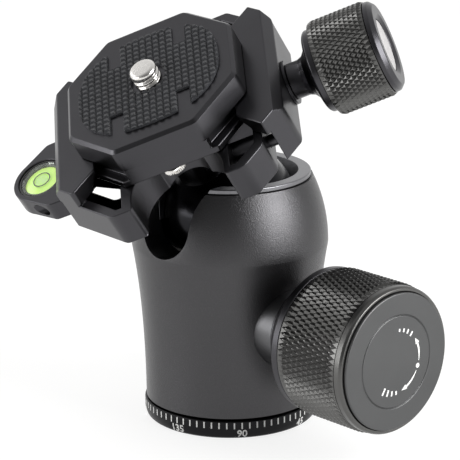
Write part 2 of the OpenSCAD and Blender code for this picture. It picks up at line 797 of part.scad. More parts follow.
// The slot in the pocket's floor, along the slanted hub wall.
pocket_floor_t = 1.6;
floor_slot_r = 1.9;
floor_slot_gap = 0.2;
floor_slot_c = fixed_pocket_hub + sqrt(2) * (floor_slot_r + floor_slot_gap);
floor_slot_x = inner_wall_x + 3.7;
floor_slot_y = fixed_pocket_y + floor_slot_gap + floor_slot_r;
floor_slot_side = floor_slot_r / sqrt(2);
module floor_slot() {
    near = [-floor_slot_x, floor_slot_x - floor_slot_c];
    far = [floor_slot_y - floor_slot_c, -floor_slot_y];
    side = [floor_slot_side, floor_slot_side];
    translate(near) circle(r = floor_slot_r);
    translate(far) circle(r = floor_slot_r);
    polygon([near + side, far + side, far - side, near - side]);
}

// Cross-section of a jaw's lip, for the jaw on the +x side.
function lip_section(outer, z0) = [
    [lip_side, z0], [outer, z0], [outer, jaw_z - jaw_bevel], [outer - jaw_bevel_w, jaw_z],
    [lip_tip, jaw_z], [lip_tip, rail_top + lip_side - lip_tip], [lip_side, rail_top]];

// A jaw's lip, cut at its ends by the corner planes and by the lead-in planes.
module lip(outer, corner, lead, z0) {
    intersection() {
        rotate([90, 0, 0]) translate([0, 0, -big / 2]) linear_extrude(big) polygon(lip_section(outer, z0));
        slab([[lip_tip, lead - lip_tip], [(corner + lead) / 2, (lead - corner) / 2],
            [outer + 1, outer + 1 - corner], [outer + 1, corner - outer - 1],
            [(corner + lead) / 2, (corner - lead) / 2], [lip_tip, lip_tip - lead]], z0 - 1, jaw_z + 1);
    }
}

// The lobe's sides run straight out from the clamp, bend inwards at a corner beside the level, and meet
// its round end a little inside the circle, so that the two outlines cross.
lobe_side_wall = 0.8;
lobe_side_y = set_screw_y + set_screw_r + lobe_side_wall;
lobe_root_y = lobe_side_y + 0.15;
lobe_bend = 1.8;
lobe_side_x = level_x - lobe_bend;
lobe_touch_deg = acos(lobe_r / norm([lobe_bend, lobe_side_y])) - atan(lobe_bend / lobe_side_y);
lobe_touch_r = lobe_r - 0.05;
lobe_touch_x = level_x + lobe_touch_r * sin(lobe_touch_deg);
lobe_touch_y = lobe_touch_r * cos(lobe_touch_deg);
lobe_outline = [[-clamp_left + 1, -lobe_root_y], [-lobe_side_x, -lobe_side_y],
    [-lobe_touch_x, -lobe_touch_y], [-lobe_touch_x, lobe_touch_y],
    [-lobe_side_x, lobe_side_y], [-clamp_left + 1, lobe_root_y]];

// The lobe's set screw runs past the level, across the dovetail, and is reached through the slanted side.
module on_set_screw() {
    on_ball()
        translate([0, -set_screw_y, (clamp_z0 + lobe_z1) / 2])
            rotate([0, -90, 0])
                children();
}

module clamp_base() {
    color([0.24, 0.24, 0.26]) {
        difference() {
            on_ball() {
                difference() {
                    union() {
                        slab(clamp_outline, clamp_z0, floor_z);
                        mirror([1, 0, 0])
                            lip(clamp_left + bore_room, clamp_corner, lead_in_fixed, floor_z - cut);
                        slab(lobe_outline, clamp_z0, lobe_z1);
                        translate([-level_x, 0, 0]) rod(lobe_r, clamp_z0, lobe_z1);
                    }
                    // open ends
                    for (end = [0, 1])
                        mirror([0, end, 0])
                            translate([0, 0, clamp_z0 - cut]) linear_extrude(big) end_bay();
                    // pockets in the corner blocks
                    for (end = [0, 1])
                        mirror([0, end, 0]) {
                            slab(fixed_pocket_outline, clamp_z0 + pocket_floor_t, jaw_lip_z);
                            translate([0, 0, clamp_z0 - cut])
                                linear_extrude(pocket_floor_t + 2 * cut) floor_slot();
                            difference() {
                                slab(screw_pocket_outline, clamp_z0 - cut, big);
                                translate([0, -rod_y, clamp_screw_z])
                                    rotate([0, 90, 0]) rod(rod_boss_r, 0, big);
                            }
                        }
                    // hole for the bolt into the stem
                    rod(bolt_shank_r + run_gap, 0, big);
                    rod(bolt_head_r + run_gap, floor_z - bolt_head_t - bolt_sink - slip_gap, big);
                    // cup of the spirit level
                    translate([-level_x, 0, 0]) rod(level_r + seat_gap, level_floor_z, big);
                    // bores of the guide rods
                    for (y = [-rod_y, rod_y])
                        translate([0, y, clamp_screw_z])
                            rotate([0, 90, 0]) rod(rod_r + run_gap, inner_wall_x + 1, big);
                }
            }
            on_clamp_screw() rod(clamp_screw_r + run_gap, clamp_screw_s0 - 1, big);
            on_set_screw() rod(set_screw_r + seat_gap, set_screw_s0, big);
        }
    }
}

module clamp_bolt() {
    color([0.35, 0.35, 0.36])
        on_ball()
            difference() {
                union() {
                    rod(bolt_shank_r, bolt_s0, floor_z - 1);
                    rod(bolt_head_r, floor_z - bolt_head_t - bolt_sink, floor_z - bolt_sink);
                }
                translate([0, 0, floor_z - bolt_sink - bolt_hex_h])
                    cylinder(r = bolt_hex_r, h = big, $fn = 6);
            }
}

// -------------------------------------------------------------------------- spirit level

module level_cup() {
    color([0.05, 0.05, 0.05])
        on_ball()
            translate([-level_x, 0, 0])
                difference() {
                    rod(level_r, level_floor_z + seat_gap, level_window_z1 + slip_gap);
                    rod(level_liquid_r + seat_gap, level_floor_z + 0.6, big);
                    rod(level_r - 0.5, level_window_z1 - level_window_t, big);
                }
}

module level_liquid() {
    color([0.65, 0.9, 0.25])
        on_ball()
            translate([-level_x, 0, 0])
                rod(level_liquid_r, level_floor_z + 0.65, level_window_z1 - level_window_t - edge);
}

module level_window() {
    color([0.9, 1, 0.9, 0.4])
        on_ball()
            translate([-level_x, 0, 0])
                rod(level_r - 0.6, level_window_z1 - level_window_t + seat_gap, level_window_z1);
}

module level_set_screw() {
    color([0.2, 0.2, 0.2])
        on_set_screw()
            difference() {
                rod(set_screw_r, set_screw_s0 + seat_gap, set_screw_s1);
                translate([0, 0, set_screw_s1 - set_screw_r]) cylinder(r = set_screw_r / 2, h = big, $fn = 6);
            }
}

// -------------------------------------------------------------------------- moving jaw

module moving_jaw() {
    color([0.24, 0.24, 0.26])
        difference() {
            on_ball()
                difference() {
                    union() {
                        lip(jaw_out, jaw_corner, lead_in, jaw_lip_z);
                        slab([[jaw_in, jaw_in - jaw_corner], [jaw_out, jaw_out - jaw_corner],
                            [jaw_out, jaw_corner - jaw_out], [jaw_in, jaw_corner - jaw_in]],
                            clamp_z0, jaw_lip_z + cut);
                    }
                    for (y = [-rod_y, rod_y])
                        translate([0, y, clamp_screw_z])
                            rotate([0, 90, 0]) rod(rod_r + seat_gap, 0, rod_depth);
                }
            on_clamp_screw() rod(clamp_screw_r + run_gap, 0, big);
        }
}

module guide_rods() {
    color([0.5, 0.5, 0.52])
        for (y = [-rod_y, rod_y])
            on_ball()
                translate([0, y, clamp_screw_z])
                    rotate([0, 90, 0]) rod(rod_r, inner_wall_x + 1.3, rod_depth - slip_gap);
}

// -------------------------------------------------------------------------- clamp knob

module clamp_screw() {
    color([0.7, 0.7, 0.72]) on_clamp_screw() rod(clamp_screw_r, clamp_screw_s0, knob_grip_s0);
}

module clamp_washer() {
    color([0.3, 0.3, 0.31])
        on_clamp_screw()
            tube(neck_r + 1, clamp_screw_r + seat_gap, clamp_washer_s0, clamp_washer_s0 + clamp_washer_t);
}

module clamp_knob_core() {
    color([0.2, 0.2, 0.21])
        on_clamp_screw()
            difference() {
                rotate_extrude()
                    polygon([[0, neck_s0], [neck_r, neck_s0], [neck_r, knob_flange_s - 3.2],
                        [neck_r + 0.5, knob_flange_s - 2], [neck_r + 2, knob_flange_s - 0.8],
                        [knob_flange_r - 0.5, knob_flange_s], [knob_flange_r, knob_flange_s + 0.5],
                        [knob_flange_r, knob_grip_s0 - edge], [knob_core_r, knob_grip_s0 - edge],
                        [knob_core_r, knob_grip_s1 + slip_gap], [knob_grip_r - 0.5, knob_grip_s1 + slip_gap],
                        [knob_grip_r - 0.6, knob_end_s - 1], [knob_grip_r - 1.6, knob_end_s],
                        [knob_disc_r + 1.2, knob_end_s], [knob_disc_r + slip_gap, knob_end_s - 3 * edge],
                        [knob_disc_r + slip_gap, knob_disc_s0 - seat_gap], [0, knob_disc_s0 - seat_gap]]);
                rod(clamp_screw_r + seat_gap, 0, knob_grip_s0 + seat_gap);
            }
}

module clamp_knob_grip() {
    color([0.27, 0.27, 0.28])
        on_clamp_screw() tube(knob_grip_r, knob_core_r + seat_gap, knob_grip_s0, knob_grip_s1);
}

module clamp_knob_disc() {
    color([0.82, 0.82, 0.86])
        on_clamp_screw()
            rod(knob_disc_r, knob_disc_s0, knob_end_s - 3.5 * edge);
}

// -------------------------------------------------------------------------- quick plate

// The dovetail rail, as wide at height z as its slanted sides leave it; c is its reach at the corners.
module rail_prism(section_w, c) {
    intersection() {
        rotate([90, 0, 0])
            translate([0, 0, -big / 2])
                linear_extrude(big)
                    polygon([[-section_w, plate_z0], [section_w, plate_z0], [section_w, rail_top],
                        [lip_root, rail_top + section_w - lip_root], [lip_root, deck_z0 + cut],
                        [-lip_root, deck_z0 + cut], [-lip_root, rail_top + section_w - lip_root],
                        [-section_w, rail_top]]);
        slab(octagon(section_w + 1, plate_half_l, c), plate_z0, deck_z0 + cut);
    }
}

bevel_depth = [0.8, 0.3, 0];
module quick_plate() {
    color([0.27, 0.26, 0.28])
        on_ball()
            difference() {
                union() {
                    // the deck, stepped in at its top edge
                    for (step = [0:2])
                        slab(octagon(plate_half_w - step * plate_bevel, plate_half_l - step * plate_bevel,
                            plate_corner - step * 1.25 * plate_bevel), deck_z0, plate_z1 - bevel_depth[step]);
                    intersection() {
                        rail_prism(dovetail_half_w, rail_corner);
                        // the rail's slanted corners
                        union() {
                            slab(diamond(rail_corner), plate_z0, rail_top + rail_step_h);
                            slab(diamond(rail_corner - rail_corner_step), plate_z0, deck_z0 + cut);
                        }
                    }
                    slab(rectangle(skirt_half_w, plate_half_l), plate_z0, deck_z0 + cut);
                }
                rod(camera_screw_r + run_gap, 0, big);
                rod(camera_flange_r + edge, 0, plate_z0 + 3);
                for (y = [-stop_y, stop_y])
                    translate([0, y, 0]) rod(stop_shank_r + seat_gap, 0, plate_z0 + 5);
            }
}

// The rubber pad: an oval with two straight slots running in from each end.
slot_x = 8;
slot_half_w = 1.6;
slot_reach = 7;
module plate_pad() {
    color([0.1, 0.1, 0.11])
        on_ball()
            translate([0, 0, plate_z1])
                difference() {
                    linear_extrude(pad_h)
                        polygon([for (a = [0:5:355])
                            [pad_half_w * sign(cos(a)) * pow(abs(cos(a)), pad_roundness),
                                pad_half_l * sign(sin(a)) * pow(abs(sin(a)), pad_roundness)]]);
                    rod(camera_screw_r + 1, -cut, big);
                    for (end = [-1, 1], side = [-1, 1])
                        translate([side * slot_x, end * pad_half_l])
                            cube([2 * slot_half_w, 2 * slot_reach, big], center = true);
                }
}

module stop_screws() {
    color([0.8, 0.8, 0.8])
        for (y = [-stop_y, stop_y])
            on_ball()
                translate([0, y, 0]) {
                    rod(stop_shank_r, plate_z0 - cut, plate_z0 + 4.5);
                    rod(stop_r, plate_z0 - 1.6, plate_z0 - seat_gap);
                }
}

stud_tip_z = plate_z1 + camera_screw_h;
tip_bevel = 0.5;
coin_slot_w = 1.6;
module camera_screw() {
    color([0.82, 0.81, 0.78])
        on_ball()
            difference() {
                union() {
                    // the shank, turned down so that the clip keeps the screw in the plate
                    rod(stud_shank_r, plate_z0 + 1, plate_z1 + pad_h + cut);
                    rod(camera_screw_r, plate_z1 + pad_h, stud_tip_z - tip_bevel);
                    translate([0, 0, stud_tip_z - tip_bevel])
                        cylinder(r1 = camera_screw_r, r2 = camera_screw_r - tip_bevel, h = tip_bevel);
                    rod(camera_flange_r, plate_z0 + 0.5, plate_z0 + 2.3);
                }
                // slot for a coin
                translate([0, 0, plate_z0]) cube([coin_slot_w, big, 2 * coin_slot_w], center = true);
            }
}

module camera_screw_clip() {
    color([0.5, 0.5, 0.52])
        on_ball() tube(clip_r, stud_shank_r + run_gap, clip_z0, clip_z0 + 0.5);
}

// -------------------------------------------------------------------------- nodes

degree_base();
tripod_bush();
pan_washer_lower();
pan_washer_upper();
axle_nut();
housing();
collar();
lock_bush();
socket_ring();
ball_stem();
pressure_cup();
wedge_pin();
lock_spindle();
lock_washer();
lock_knob_core();
lock_knob_grip();
lock_knob_bezel();
lock_knob_face();
pan_brake_pad();
pan_screw();
pan_knob_core();
pan_knob_grip();
pan_knob_face();
clamp_base();
clamp_bolt();
level_cup();
level_liquid();
level_window();
level_set_screw();
moving_jaw();
guide_rods();
clamp_screw();
clamp_washer();
clamp_knob_core();
clamp_knob_grip();
clamp_knob_disc();
quick_plate();
plate_pad();
stop_screws();
camera_screw();
camera_screw_clip();
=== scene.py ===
"""Tripod ball head: finishes, knurls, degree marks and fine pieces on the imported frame.

Lengths are metres. A "seat" is a place to work in: an origin and three axes, as rows of numpy arrays.
"""

import contextlib
import json
import math

import bmesh
import bpy
import numpy as np
from mathutils import Matrix, Vector


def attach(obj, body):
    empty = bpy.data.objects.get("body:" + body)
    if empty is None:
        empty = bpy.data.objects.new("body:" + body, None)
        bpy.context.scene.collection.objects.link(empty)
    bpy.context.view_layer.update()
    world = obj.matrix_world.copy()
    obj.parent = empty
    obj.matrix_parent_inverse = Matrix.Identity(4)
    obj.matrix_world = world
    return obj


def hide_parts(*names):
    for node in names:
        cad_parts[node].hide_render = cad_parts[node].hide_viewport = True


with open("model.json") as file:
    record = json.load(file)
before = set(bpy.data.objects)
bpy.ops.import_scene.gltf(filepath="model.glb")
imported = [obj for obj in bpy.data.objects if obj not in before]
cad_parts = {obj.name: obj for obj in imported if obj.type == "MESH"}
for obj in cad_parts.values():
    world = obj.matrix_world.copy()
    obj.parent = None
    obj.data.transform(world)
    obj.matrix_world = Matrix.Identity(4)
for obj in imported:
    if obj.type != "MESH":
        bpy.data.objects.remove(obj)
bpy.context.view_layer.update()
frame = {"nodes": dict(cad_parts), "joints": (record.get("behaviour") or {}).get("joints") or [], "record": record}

bl_info = {
    "name": "Tripod ball head",
    "version": (1, 0, 0),
    "blender": (4, 5, 0),
    "location": "View3D > Sidebar > Ball head",
    "description": "Finishes and fine pieces of a tripod ball head",
    "category": "Object",
}

MM = 0.001
JOINTS = {joint["name"]: joint for joint in frame["joints"]}


# ---- places on the frame


def unit(vector):
    vector = np.asarray(vector, float)
    return vector / np.linalg.norm(vector)


def knob_seat(joint):
    """Origin, sideways, upwards and outwards axes of a knob, seen from its front."""
    outwards = unit(JOINTS[joint]["axis"])
    sideways = unit(np.cross([0.0, 0.0, 1.0], outwards))
    return np.array([JOINTS[joint]["pos_m"], sideways, np.cross(outwards, sideways), outwards])


# The clamp's own frame: the ball's centre, across the dovetail, along it, and up the stem.
HEAD = np.array([JOINTS["clamp_turn"]["pos_m"], unit(JOINTS["jaw_travel"]["axis"]),
                 unit(JOINTS["plate_slide"]["axis"]), unit(JOINTS["clamp_turn"]["axis"])])
BASE = np.array([[0.0, 0, 0], [1, 0, 0], [0, 1, 0], [0, 0, 1]])
LOCK_KNOB = knob_seat("lock_turn")
PAN_KNOB = knob_seat("pan_lock_turn")
CLAMP_KNOB = knob_seat("clamp_knob_turn")


def placed(points, seat):
    """Local points, moved to the row frame."""
    return seat[0] + np.asarray(points, float) @ seat[1:]


def values_of(items, name, width=1, kind=float):
    """One value of all of a mesh's vertices, edges, loops or faces, as an array with so many columns."""
    values = np.empty(len(items) * width, kind)
    items.foreach_get(name, values)
    return values.reshape(-1, width) if width > 1 else values


def local(node, seat):
    """A CAD node's points, in a seat's own frame."""
    return (values_of(frame["nodes"][node].data.vertices, "co", 3) - seat[0]) @ seat[1:].T


def span(node, seat, axis=2):
    """Lowest and highest place of a CAD node along one axis of a seat."""
    along = local(node, seat)[:, axis]
    return along.min(), along.max()


def reach(node, seat):
    """Largest distance of a CAD node's points from a seat's third axis."""
    return np.hypot(*local(node, seat)[:, :2].T).max()


# ---- surfaces


def ring_faces(rows, columns):
    """Quads between the points of a grid, numbered row by row, whose last row joins its first."""
    row = np.arange(rows)[:, None]
    column = np.arange(columns - 1)[None, :]
    below = (row + 1) % rows
    corners = [row * columns + column, row * columns + column + 1,
               below * columns + column + 1, below * columns + column]
    return np.stack(np.broadcast_arrays(*corners), -1).reshape(-1, 4)


def joined(parts):
    """One set of points and faces from several (points, [faces, ...]) sets."""
    points, faces, first = [], [], 0
    for part_points, part_faces in parts:
        points.append(np.asarray(part_points, float))
        faces += [np.asarray(one) + first for one in part_faces]
        first += len(part_points)
    return np.concatenate(points), faces


def waved(radii, places):
    """Rows of radii, one for each turn about the axis, at places along it: (r cos a, r sin a, s)."""
    turn = np.linspace(0, 2 * np.pi, len(radii), endpoint=False)[:, None]
    points = np.stack([radii * np.cos(turn), radii * np.sin(turn), np.broadcast_to(places, radii.shape)], -1)
    return points.reshape(-1, 3), [ring_faces(*radii.shape)]


def turned(profile, steps):
    """A profile of (radius, place along the axis), turned about the axis."""
    radii, places = np.asarray(profile, float).T
    return waved(np.tile(radii, (steps, 1)), places)


def strip(path, half_widths, low, high):
    """A flat bar along a path in the plane, as wide at each point as asked, from one height to another.

    Its section is a rectangle: path plus or minus the half width times the path's normal, at both heights.
    """
    path = np.asarray(path, float)
    along = np.gradient(path, axis=0)
    normal = np.stack([-along[:, 1], along[:, 0]], -1) / np.linalg.norm(along, axis=1)[:, None]
    side = normal * np.asarray(half_widths, float)[:, None]
    corners = [(path + side, low), (path - side, low), (path - side, high), (path + side, high)]
    points = np.stack([np.column_stack([xy, np.full(len(path), z)]) for xy, z in corners], 0)
    ends = np.array([[0, 1, 2, 3]]) * len(path)
    return points.reshape(-1, 3), [ring_faces(4, len(path)), ends, ends[:, ::-1] + len(path) - 1]


def slopes(low, high):
    """Quads from the four low corners of each cell up to the four corners of its crest."""
    after = [1, 2, 3, 0]
    return np.stack([low, low[:, after], high[:, after], high], -1).reshape(-1, 4)


def diamonds(columns, rows, column_pitch, row_pitch, crest):
    """Pyramids on a lattice: a cell's four corners lie low, and a small crest in its middle lies high.

    Returns the low corners and the crests' corners as (across, along) places, with the faces between them.
    Cells stand where column plus row is even, and reach to the next column and row each way.
    """
    column, row = np.meshgrid(np.arange(columns[0], columns[1] + 1), np.arange(rows[0], rows[1] + 1))
    cells = np.stack([column, row], -1).reshape(-1, 2)
    cells = cells[cells.sum(1) % 2 == 0]
    steps = np.array([[1, 0], [0, 1], [-1, 0], [0, -1]])
    low, number = np.unique((cells[:, None] + steps).reshape(-1, 2), axis=0, return_inverse=True)
    high = (cells[:, None] + crest * steps).reshape(-1, 2)
    top = np.arange(len(high)).reshape(-1, 4) + len(low)
    pitch = np.array([column_pitch, row_pitch])
    return low * pitch, high * pitch, slopes(number.reshape(-1, 4), top), top


def knurled(radius, core, back, front, around, half_rows, depth, crest):
    """A tube with a diamond knurl: pyramids wrapped round it, with their valleys a depth below the radius.

    A lattice place across becomes an angle a, and the point is (r cos a, r sin a, place along). Half cells
    close the two edges, and flat rings run in to the tube's bore.
    """
    half_turn = math.pi / around
    half_row = (front - back) / half_rows
    valley = radius - depth
    low, high, sides, top = diamonds((0, 2 * around - 1), (1, half_rows - 1), half_turn, half_row, crest)
    angle = np.concatenate([low[:, 0], high[:, 0]])
    place = back + np.concatenate([low[:, 1], high[:, 1]])
    size = np.concatenate([np.full(len(low), valley), np.full(len(high), radius)])
    # the crest's flat facet keeps its corners on the radius
    points = np.column_stack([size * np.cos(angle), size * np.sin(angle), place])

    def ring(size, first_column, place):
        angle = (first_column + 2 * np.arange(around)) * half_turn
        return np.column_stack([size * np.cos(angle), size * np.sin(angle), np.full(around, place)])

    back_column, front_column = 1, (1 + half_rows) % 2
    number = np.arange(around)
    triangles = np.column_stack([number, (number + 1) % around, number + around])
    closing = [(np.concatenate([ring(valley, column, edge), ring(valley, column + 1, inner)]), [triangles])
               for column, edge, inner in ((back_column, back, back + half_row),
                                           (front_column, front, front - half_row))]
    bore = [ring(valley, back_column, back), ring(core, back_column, back),
            ring(core, front_column, front), ring(valley, front_column, front)]
    inner_tube = (np.stack(bore, 1).reshape(-1, 3), [ring_faces(around, 4)])
    return joined([(points, [sides, top])] + closing + [inner_tube])


def studded(columns, rows, pitch_x, pitch_y, low, high, foot, crest):
    """A closed slab with a field of blunt pyramids on top, centred on the origin.

    The lattice's points lie at the low height, each cell's crest is a smaller square at the high one,
    and walls run down from the lattice's border to the foot.
    """
    column, row = np.meshgrid(np.arange(columns + 1), np.arange(rows + 1), indexing="ij")
    flat = np.stack([(column - columns / 2) * pitch_x, (row - rows / 2) * pitch_y], -1).reshape(-1, 2)
    number = np.arange(len(flat)).reshape(columns + 1, rows + 1)
    cells = np.stack([number[:-1, :-1], number[1:, :-1], number[1:, 1:], number[:-1, 1:]], -1).reshape(-1, 4)
    middle = flat[cells].mean(1)[:, None]
    crests = (middle + crest * (flat[cells] - middle)).reshape(-1, 2)
    top = np.arange(len(crests)).reshape(-1, 4) + 2 * len(flat)
    border = np.concatenate([number[:-1, 0], number[-1, :-1], number[:0:-1, -1], number[0, :0:-1]])
    onward = np.roll(border, -1)
    walls = np.column_stack([border, onward, onward + len(flat), border + len(flat)])
    heights = np.repeat([low, foot, high], [len(flat), len(flat), len(crests)])
    points = np.column_stack([np.concatenate([flat, flat, crests]), heights])
    return points, [slopes(cells, top), top, walls, cells[:, ::-1] + len(flat)]


def rounded_octagon(half_w, half_l, corner, radius, inset, steps=7):
    """Points round an octagon, |x| <= half_w, |y| <= half_l and |x| + |y| <= corner, with rounded corners.

    Each corner is an arc about a fixed middle, and an inset makes the arc's radius smaller.
    """
    angle = np.arange(8) * np.pi / 4
    normal = np.column_stack([np.cos(angle), np.sin(angle)])
    offset = np.tile([half_w, corner / math.sqrt(2), half_l, corner / math.sqrt(2)], 2) - radius
    pairs = np.stack([normal, np.roll(normal, -1, axis=0)], 1)
    middles = np.linalg.solve(pairs, np.column_stack([offset, np.roll(offset, -1)])[..., None])[..., 0]
    turn = angle[:, None] + np.linspace(0, np.pi / 4, steps)
    arcs = middles[:, None] + (radius - inset) * np.stack([np.cos(turn), np.sin(turn)], -1)
    return arcs.reshape(-1, 2)


# ---- pieces


def finish_piece(piece, body, finish, replaces=()):
    """Gives a piece its material and its body, and hides the CAD nodes it replaces."""
    piece.data.materials.clear()
    piece.data.materials.append(finish)
    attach(piece, body)
    if replaces:
        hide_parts(*replaces)
    return piece


def in_scene(name, data):
    """A new object with its data, linked to the scene."""
    made = bpy.data.objects.new(name, data)
    bpy.context.scene.collection.objects.link(made)
    return made


@contextlib.contextmanager
def reworked(mesh):
    """A mesh as bmesh for a while; it goes back with all faces turned outwards."""
    work = bmesh.new()
    work.from_mesh(mesh)
    yield work
    bmesh.ops.recalc_face_normals(work, faces=work.faces)
    work.to_mesh(mesh)
    work.free()


def sliced(work, place, normal, clear_outer=False):
    """Cuts all edges and faces where they cross a plane."""
    everything = work.verts[:] + work.edges[:] + work.faces[:]
    bmesh.ops.bisect_plane(work, geom=everything, plane_co=place, plane_no=normal, clear_outer=clear_outer)


def flattened(work):
    """Makes faces that lie in one plane whole again."""
    bmesh.ops.dissolve_limit(work, angle_limit=math.radians(0.4), verts=work.verts, edges=work.edges)


def cleaned(mesh, merge=0.001 * MM, flat=False):
    """Merges a mesh's doubles, drops faces that closed up, and turns all faces outwards."""
    with reworked(mesh) as work:
        bmesh.ops.remove_doubles(work, verts=work.verts, dist=merge)
        bmesh.ops.dissolve_degenerate(work, edges=work.edges, dist=merge)
        if flat:
            flattened(work)


def new_piece(name, shape, seat, smooth=None):
    """A mesh object from local points and faces; smooth is the angle past which an edge stays sharp."""
    points, faces = shape
    mesh = bpy.data.meshes.new(name)
    mesh.from_pydata(placed(points, seat).tolist(), [], [face for one in faces for face in one.tolist()])
    cleaned(mesh)
    if smooth is not None:
        mesh.shade_smooth()
        mesh.set_sharp_from_angle(angle=smooth)
    return in_scene(name, mesh)


def copied(node, name):
    """A merged copy of a CAD node's mesh, whose flat faces are whole again."""
    mesh = frame["nodes"][node].data.copy()
    mesh.name = name
    if mesh.has_custom_normals:
        mesh.attributes.remove(mesh.attributes["custom_normal"])
    cleaned(mesh, 0.002 * MM, flat=True)
    return in_scene(name, mesh)


# An edge that bends less stays unrounded; upright corners are at least so long.
SHARP = math.radians(24)
CORNER_LENGTH = 2.5 * MM
# The share of its shortest neighbour that an edge's rounding may take, and an upright corner's.
ROOM, CORNER_ROOM = 0.36, 0.48


def edge_widths(mesh, width, corner, rim):
    """How wide each edge's rounding is: none on flat edges, never more than its neighbours leave room for.

    Long outer edges that stand upright in the clamp's frame get the corner width instead, and edges that
    lie at the rim's height over the ball stay sharp.
    """
    points = values_of(mesh.vertices, "co", 3)
    ends = values_of(mesh.edges, "vertices", 2, int)
    of_loop = values_of(mesh.loops, "edge_index", 1, int)
    face = np.repeat(np.arange(len(mesh.polygons)), values_of(mesh.polygons, "loop_total", 1, int))
    normals, centres = (values_of(mesh.polygons, name, 3) for name in ("normal", "center"))

    order = np.argsort(of_loop, kind="stable")
    start = np.searchsorted(of_loop[order], np.arange(len(ends)))
    first, second = face[order][start], face[order][np.minimum(start + 1, len(of_loop) - 1)]
    paired = np.bincount(of_loop, minlength=len(ends)) == 2
    bend = np.arccos(np.clip((normals[first] * normals[second]).sum(1), -1, 1))
    outer = (normals[first] * (centres[second] - centres[first])).sum(1) < 0
    run = points[ends[:, 1]] - points[ends[:, 0]]
    lengths = np.linalg.norm(run, axis=1)
    shortest = np.full(len(points), np.inf)
    np.minimum.at(shortest, ends.ravel(), np.repeat(lengths, 2))
    upright = outer & (np.abs(run @ HEAD[3]) > 0.995 * lengths) & (lengths > CORNER_LENGTH)
    room = np.where(upright, CORNER_ROOM, ROOM) * shortest[ends].min(1)
    wide = np.where(upright, corner, width)
    if rim is not None:
        over = ((points - HEAD[0]) @ HEAD[3])[ends]
        wide = np.where(np.abs(over - rim).max(1) < 0.02 * MM, 0.0, wide)
    return np.where(paired & (bend > SHARP), np.minimum(wide, room), 0.0)


def rounded(piece, width, corner=0.0, rim=None):
    """Rounds a piece's edges by a bevel as wide as each edge has room for; a rim's edges stay sharp."""
    mesh = piece.data
    mesh.shade_smooth()
    mesh.set_sharp_from_angle(angle=SHARP)
    widest = max(width, corner)
    weight = mesh.attributes.new("bevel_weight_edge", "FLOAT", "EDGE")
    weight.data.foreach_set("value", edge_widths(mesh, width, widest, rim) / widest)
    bevel = piece.modifiers.new("edges", "BEVEL")
    bevel.width = widest
    bevel.segments = 3 if corner else 2
    bevel.limit_method = "WEIGHT"
    bevel.use_clamp_overlap = False
    bevel.loop_slide = False
    bevel.harden_normals = True
    return piece


def softened(node, width, corner=0.0):
    """A copy of a CAD node with its edges rounded, or only shaded smooth where the width is nothing."""
    piece = copied(node, node + "_soft")
    if width:
        return rounded(piece, width, corner)
    piece.data.shade_smooth()
    piece.data.set_sharp_from_angle(angle=SHARP)
    return piece


# ---- shader maths


class Value:
    """A socket that adds Math or Vector Math nodes to its tree when it is used in an expression."""

    def __init__(self, graph, socket):
        self.graph = graph
        self.socket = socket

    def math(self, operation, *others):
        return self.graph.node("ShaderNodeMath", {"operation": operation}, self, *others)

    def __add__(self, other):
        return self.math("ADD", other)

    def __sub__(self, other):
        return self.math("SUBTRACT", other)

    def __rsub__(self, other):
        return self.graph.node("ShaderNodeMath", {"operation": "SUBTRACT"}, other, self)

    def __mul__(self, other):
        return self.math("MULTIPLY", other)

    __radd__ = __add__
    __rmul__ = __mul__

    def clamped(self, low, high):
        return self.math("MAXIMUM", low).math("MINIMUM", high)

    def dot(self, vector):
        return self.graph.node("ShaderNodeVectorMath", {"operation": "DOT_PRODUCT"}, self, tuple(vector),
                               output="Value")

    def minus(self, vector):
        return self.graph.node("ShaderNodeVectorMath", {"operation": "SUBTRACT"}, self, tuple(vector))


class Graph:
    """The node tree of one material, or of the world."""

    def __init__(self, owner):
        self.owner = owner
        self.tree = owner.node_tree
        self.shader = next(n for n in self.tree.nodes if n.type in ("BSDF_PRINCIPLED", "BACKGROUND"))

    def node(self, kind, settings=None, *inputs, output=0, **named):
        """Adds a node: its settings first, then its sockets, by order or by name; None is left out."""
        added = self.tree.nodes.new(kind)
        for key, value in (settings or {}).items():
            if key == "stops":
                ramp = added.color_ramp
                while len(ramp.elements) < len(value):
                    ramp.elements.new(0.5)
                for element, (place, grey) in zip(ramp.elements, value):
                    element.position = place
                    element.color = (grey, grey, grey, 1)
            else:
                setattr(added, key, value)
        pairs = list(zip(added.inputs, inputs))
        pairs += [(added.inputs[name.replace("_", " ")], value) for name, value in named.items()]
        for socket, value in pairs:
            self.feed(socket, value)
        return Value(self, added.outputs[output])

    def feed(self, socket, value):
        if isinstance(value, Value):
            self.tree.links.new(value.socket, socket)
        elif value is not None:
            socket.default_value = value

    def set(self, **named):
        """Feeds the shader's own sockets."""
        for name, value in named.items():
            self.feed(self.shader.inputs[name.replace("_", " ")], value)

    def place(self):
        return self.node("ShaderNodeTexCoord", output="Object")

    def noise(self, scale, detail=2.0, roughness=0.5, place=None):
        return self.node("ShaderNodeTexNoise", {"noise_dimensions": "3D"}, output="Fac",
                         Vector=place or self.place(), Scale=scale, Detail=detail, Roughness=roughness)

    def blend(self, amount, first, second):
        """A colour between two, by an amount from 0 to 1; the Mix node's other sockets are skipped."""
        return self.node("ShaderNodeMix", {"data_type": "RGBA", "clamp_factor": True},
                         amount, None, None, None, None, None, first, second, output=2)

    def tones(self, amount, colour, low, high):
        """A colour made darker or paler by an amount from 0 to 1, between two factors."""
        return self.blend(amount, shaded(colour, low), shaded(colour, high))

    def bump(self, height, distance):
        return self.node("ShaderNodeBump", None, Strength=1.0, Distance=distance, Height=height)

    def ray(self, *kinds):
        """1 where the ray is one of the kinds, such as Is Camera Ray."""
        first, *others = (self.node("ShaderNodeLightPath", output=kind) for kind in kinds)
        for other in others:
            first = first.math("MAXIMUM", other)
        return first


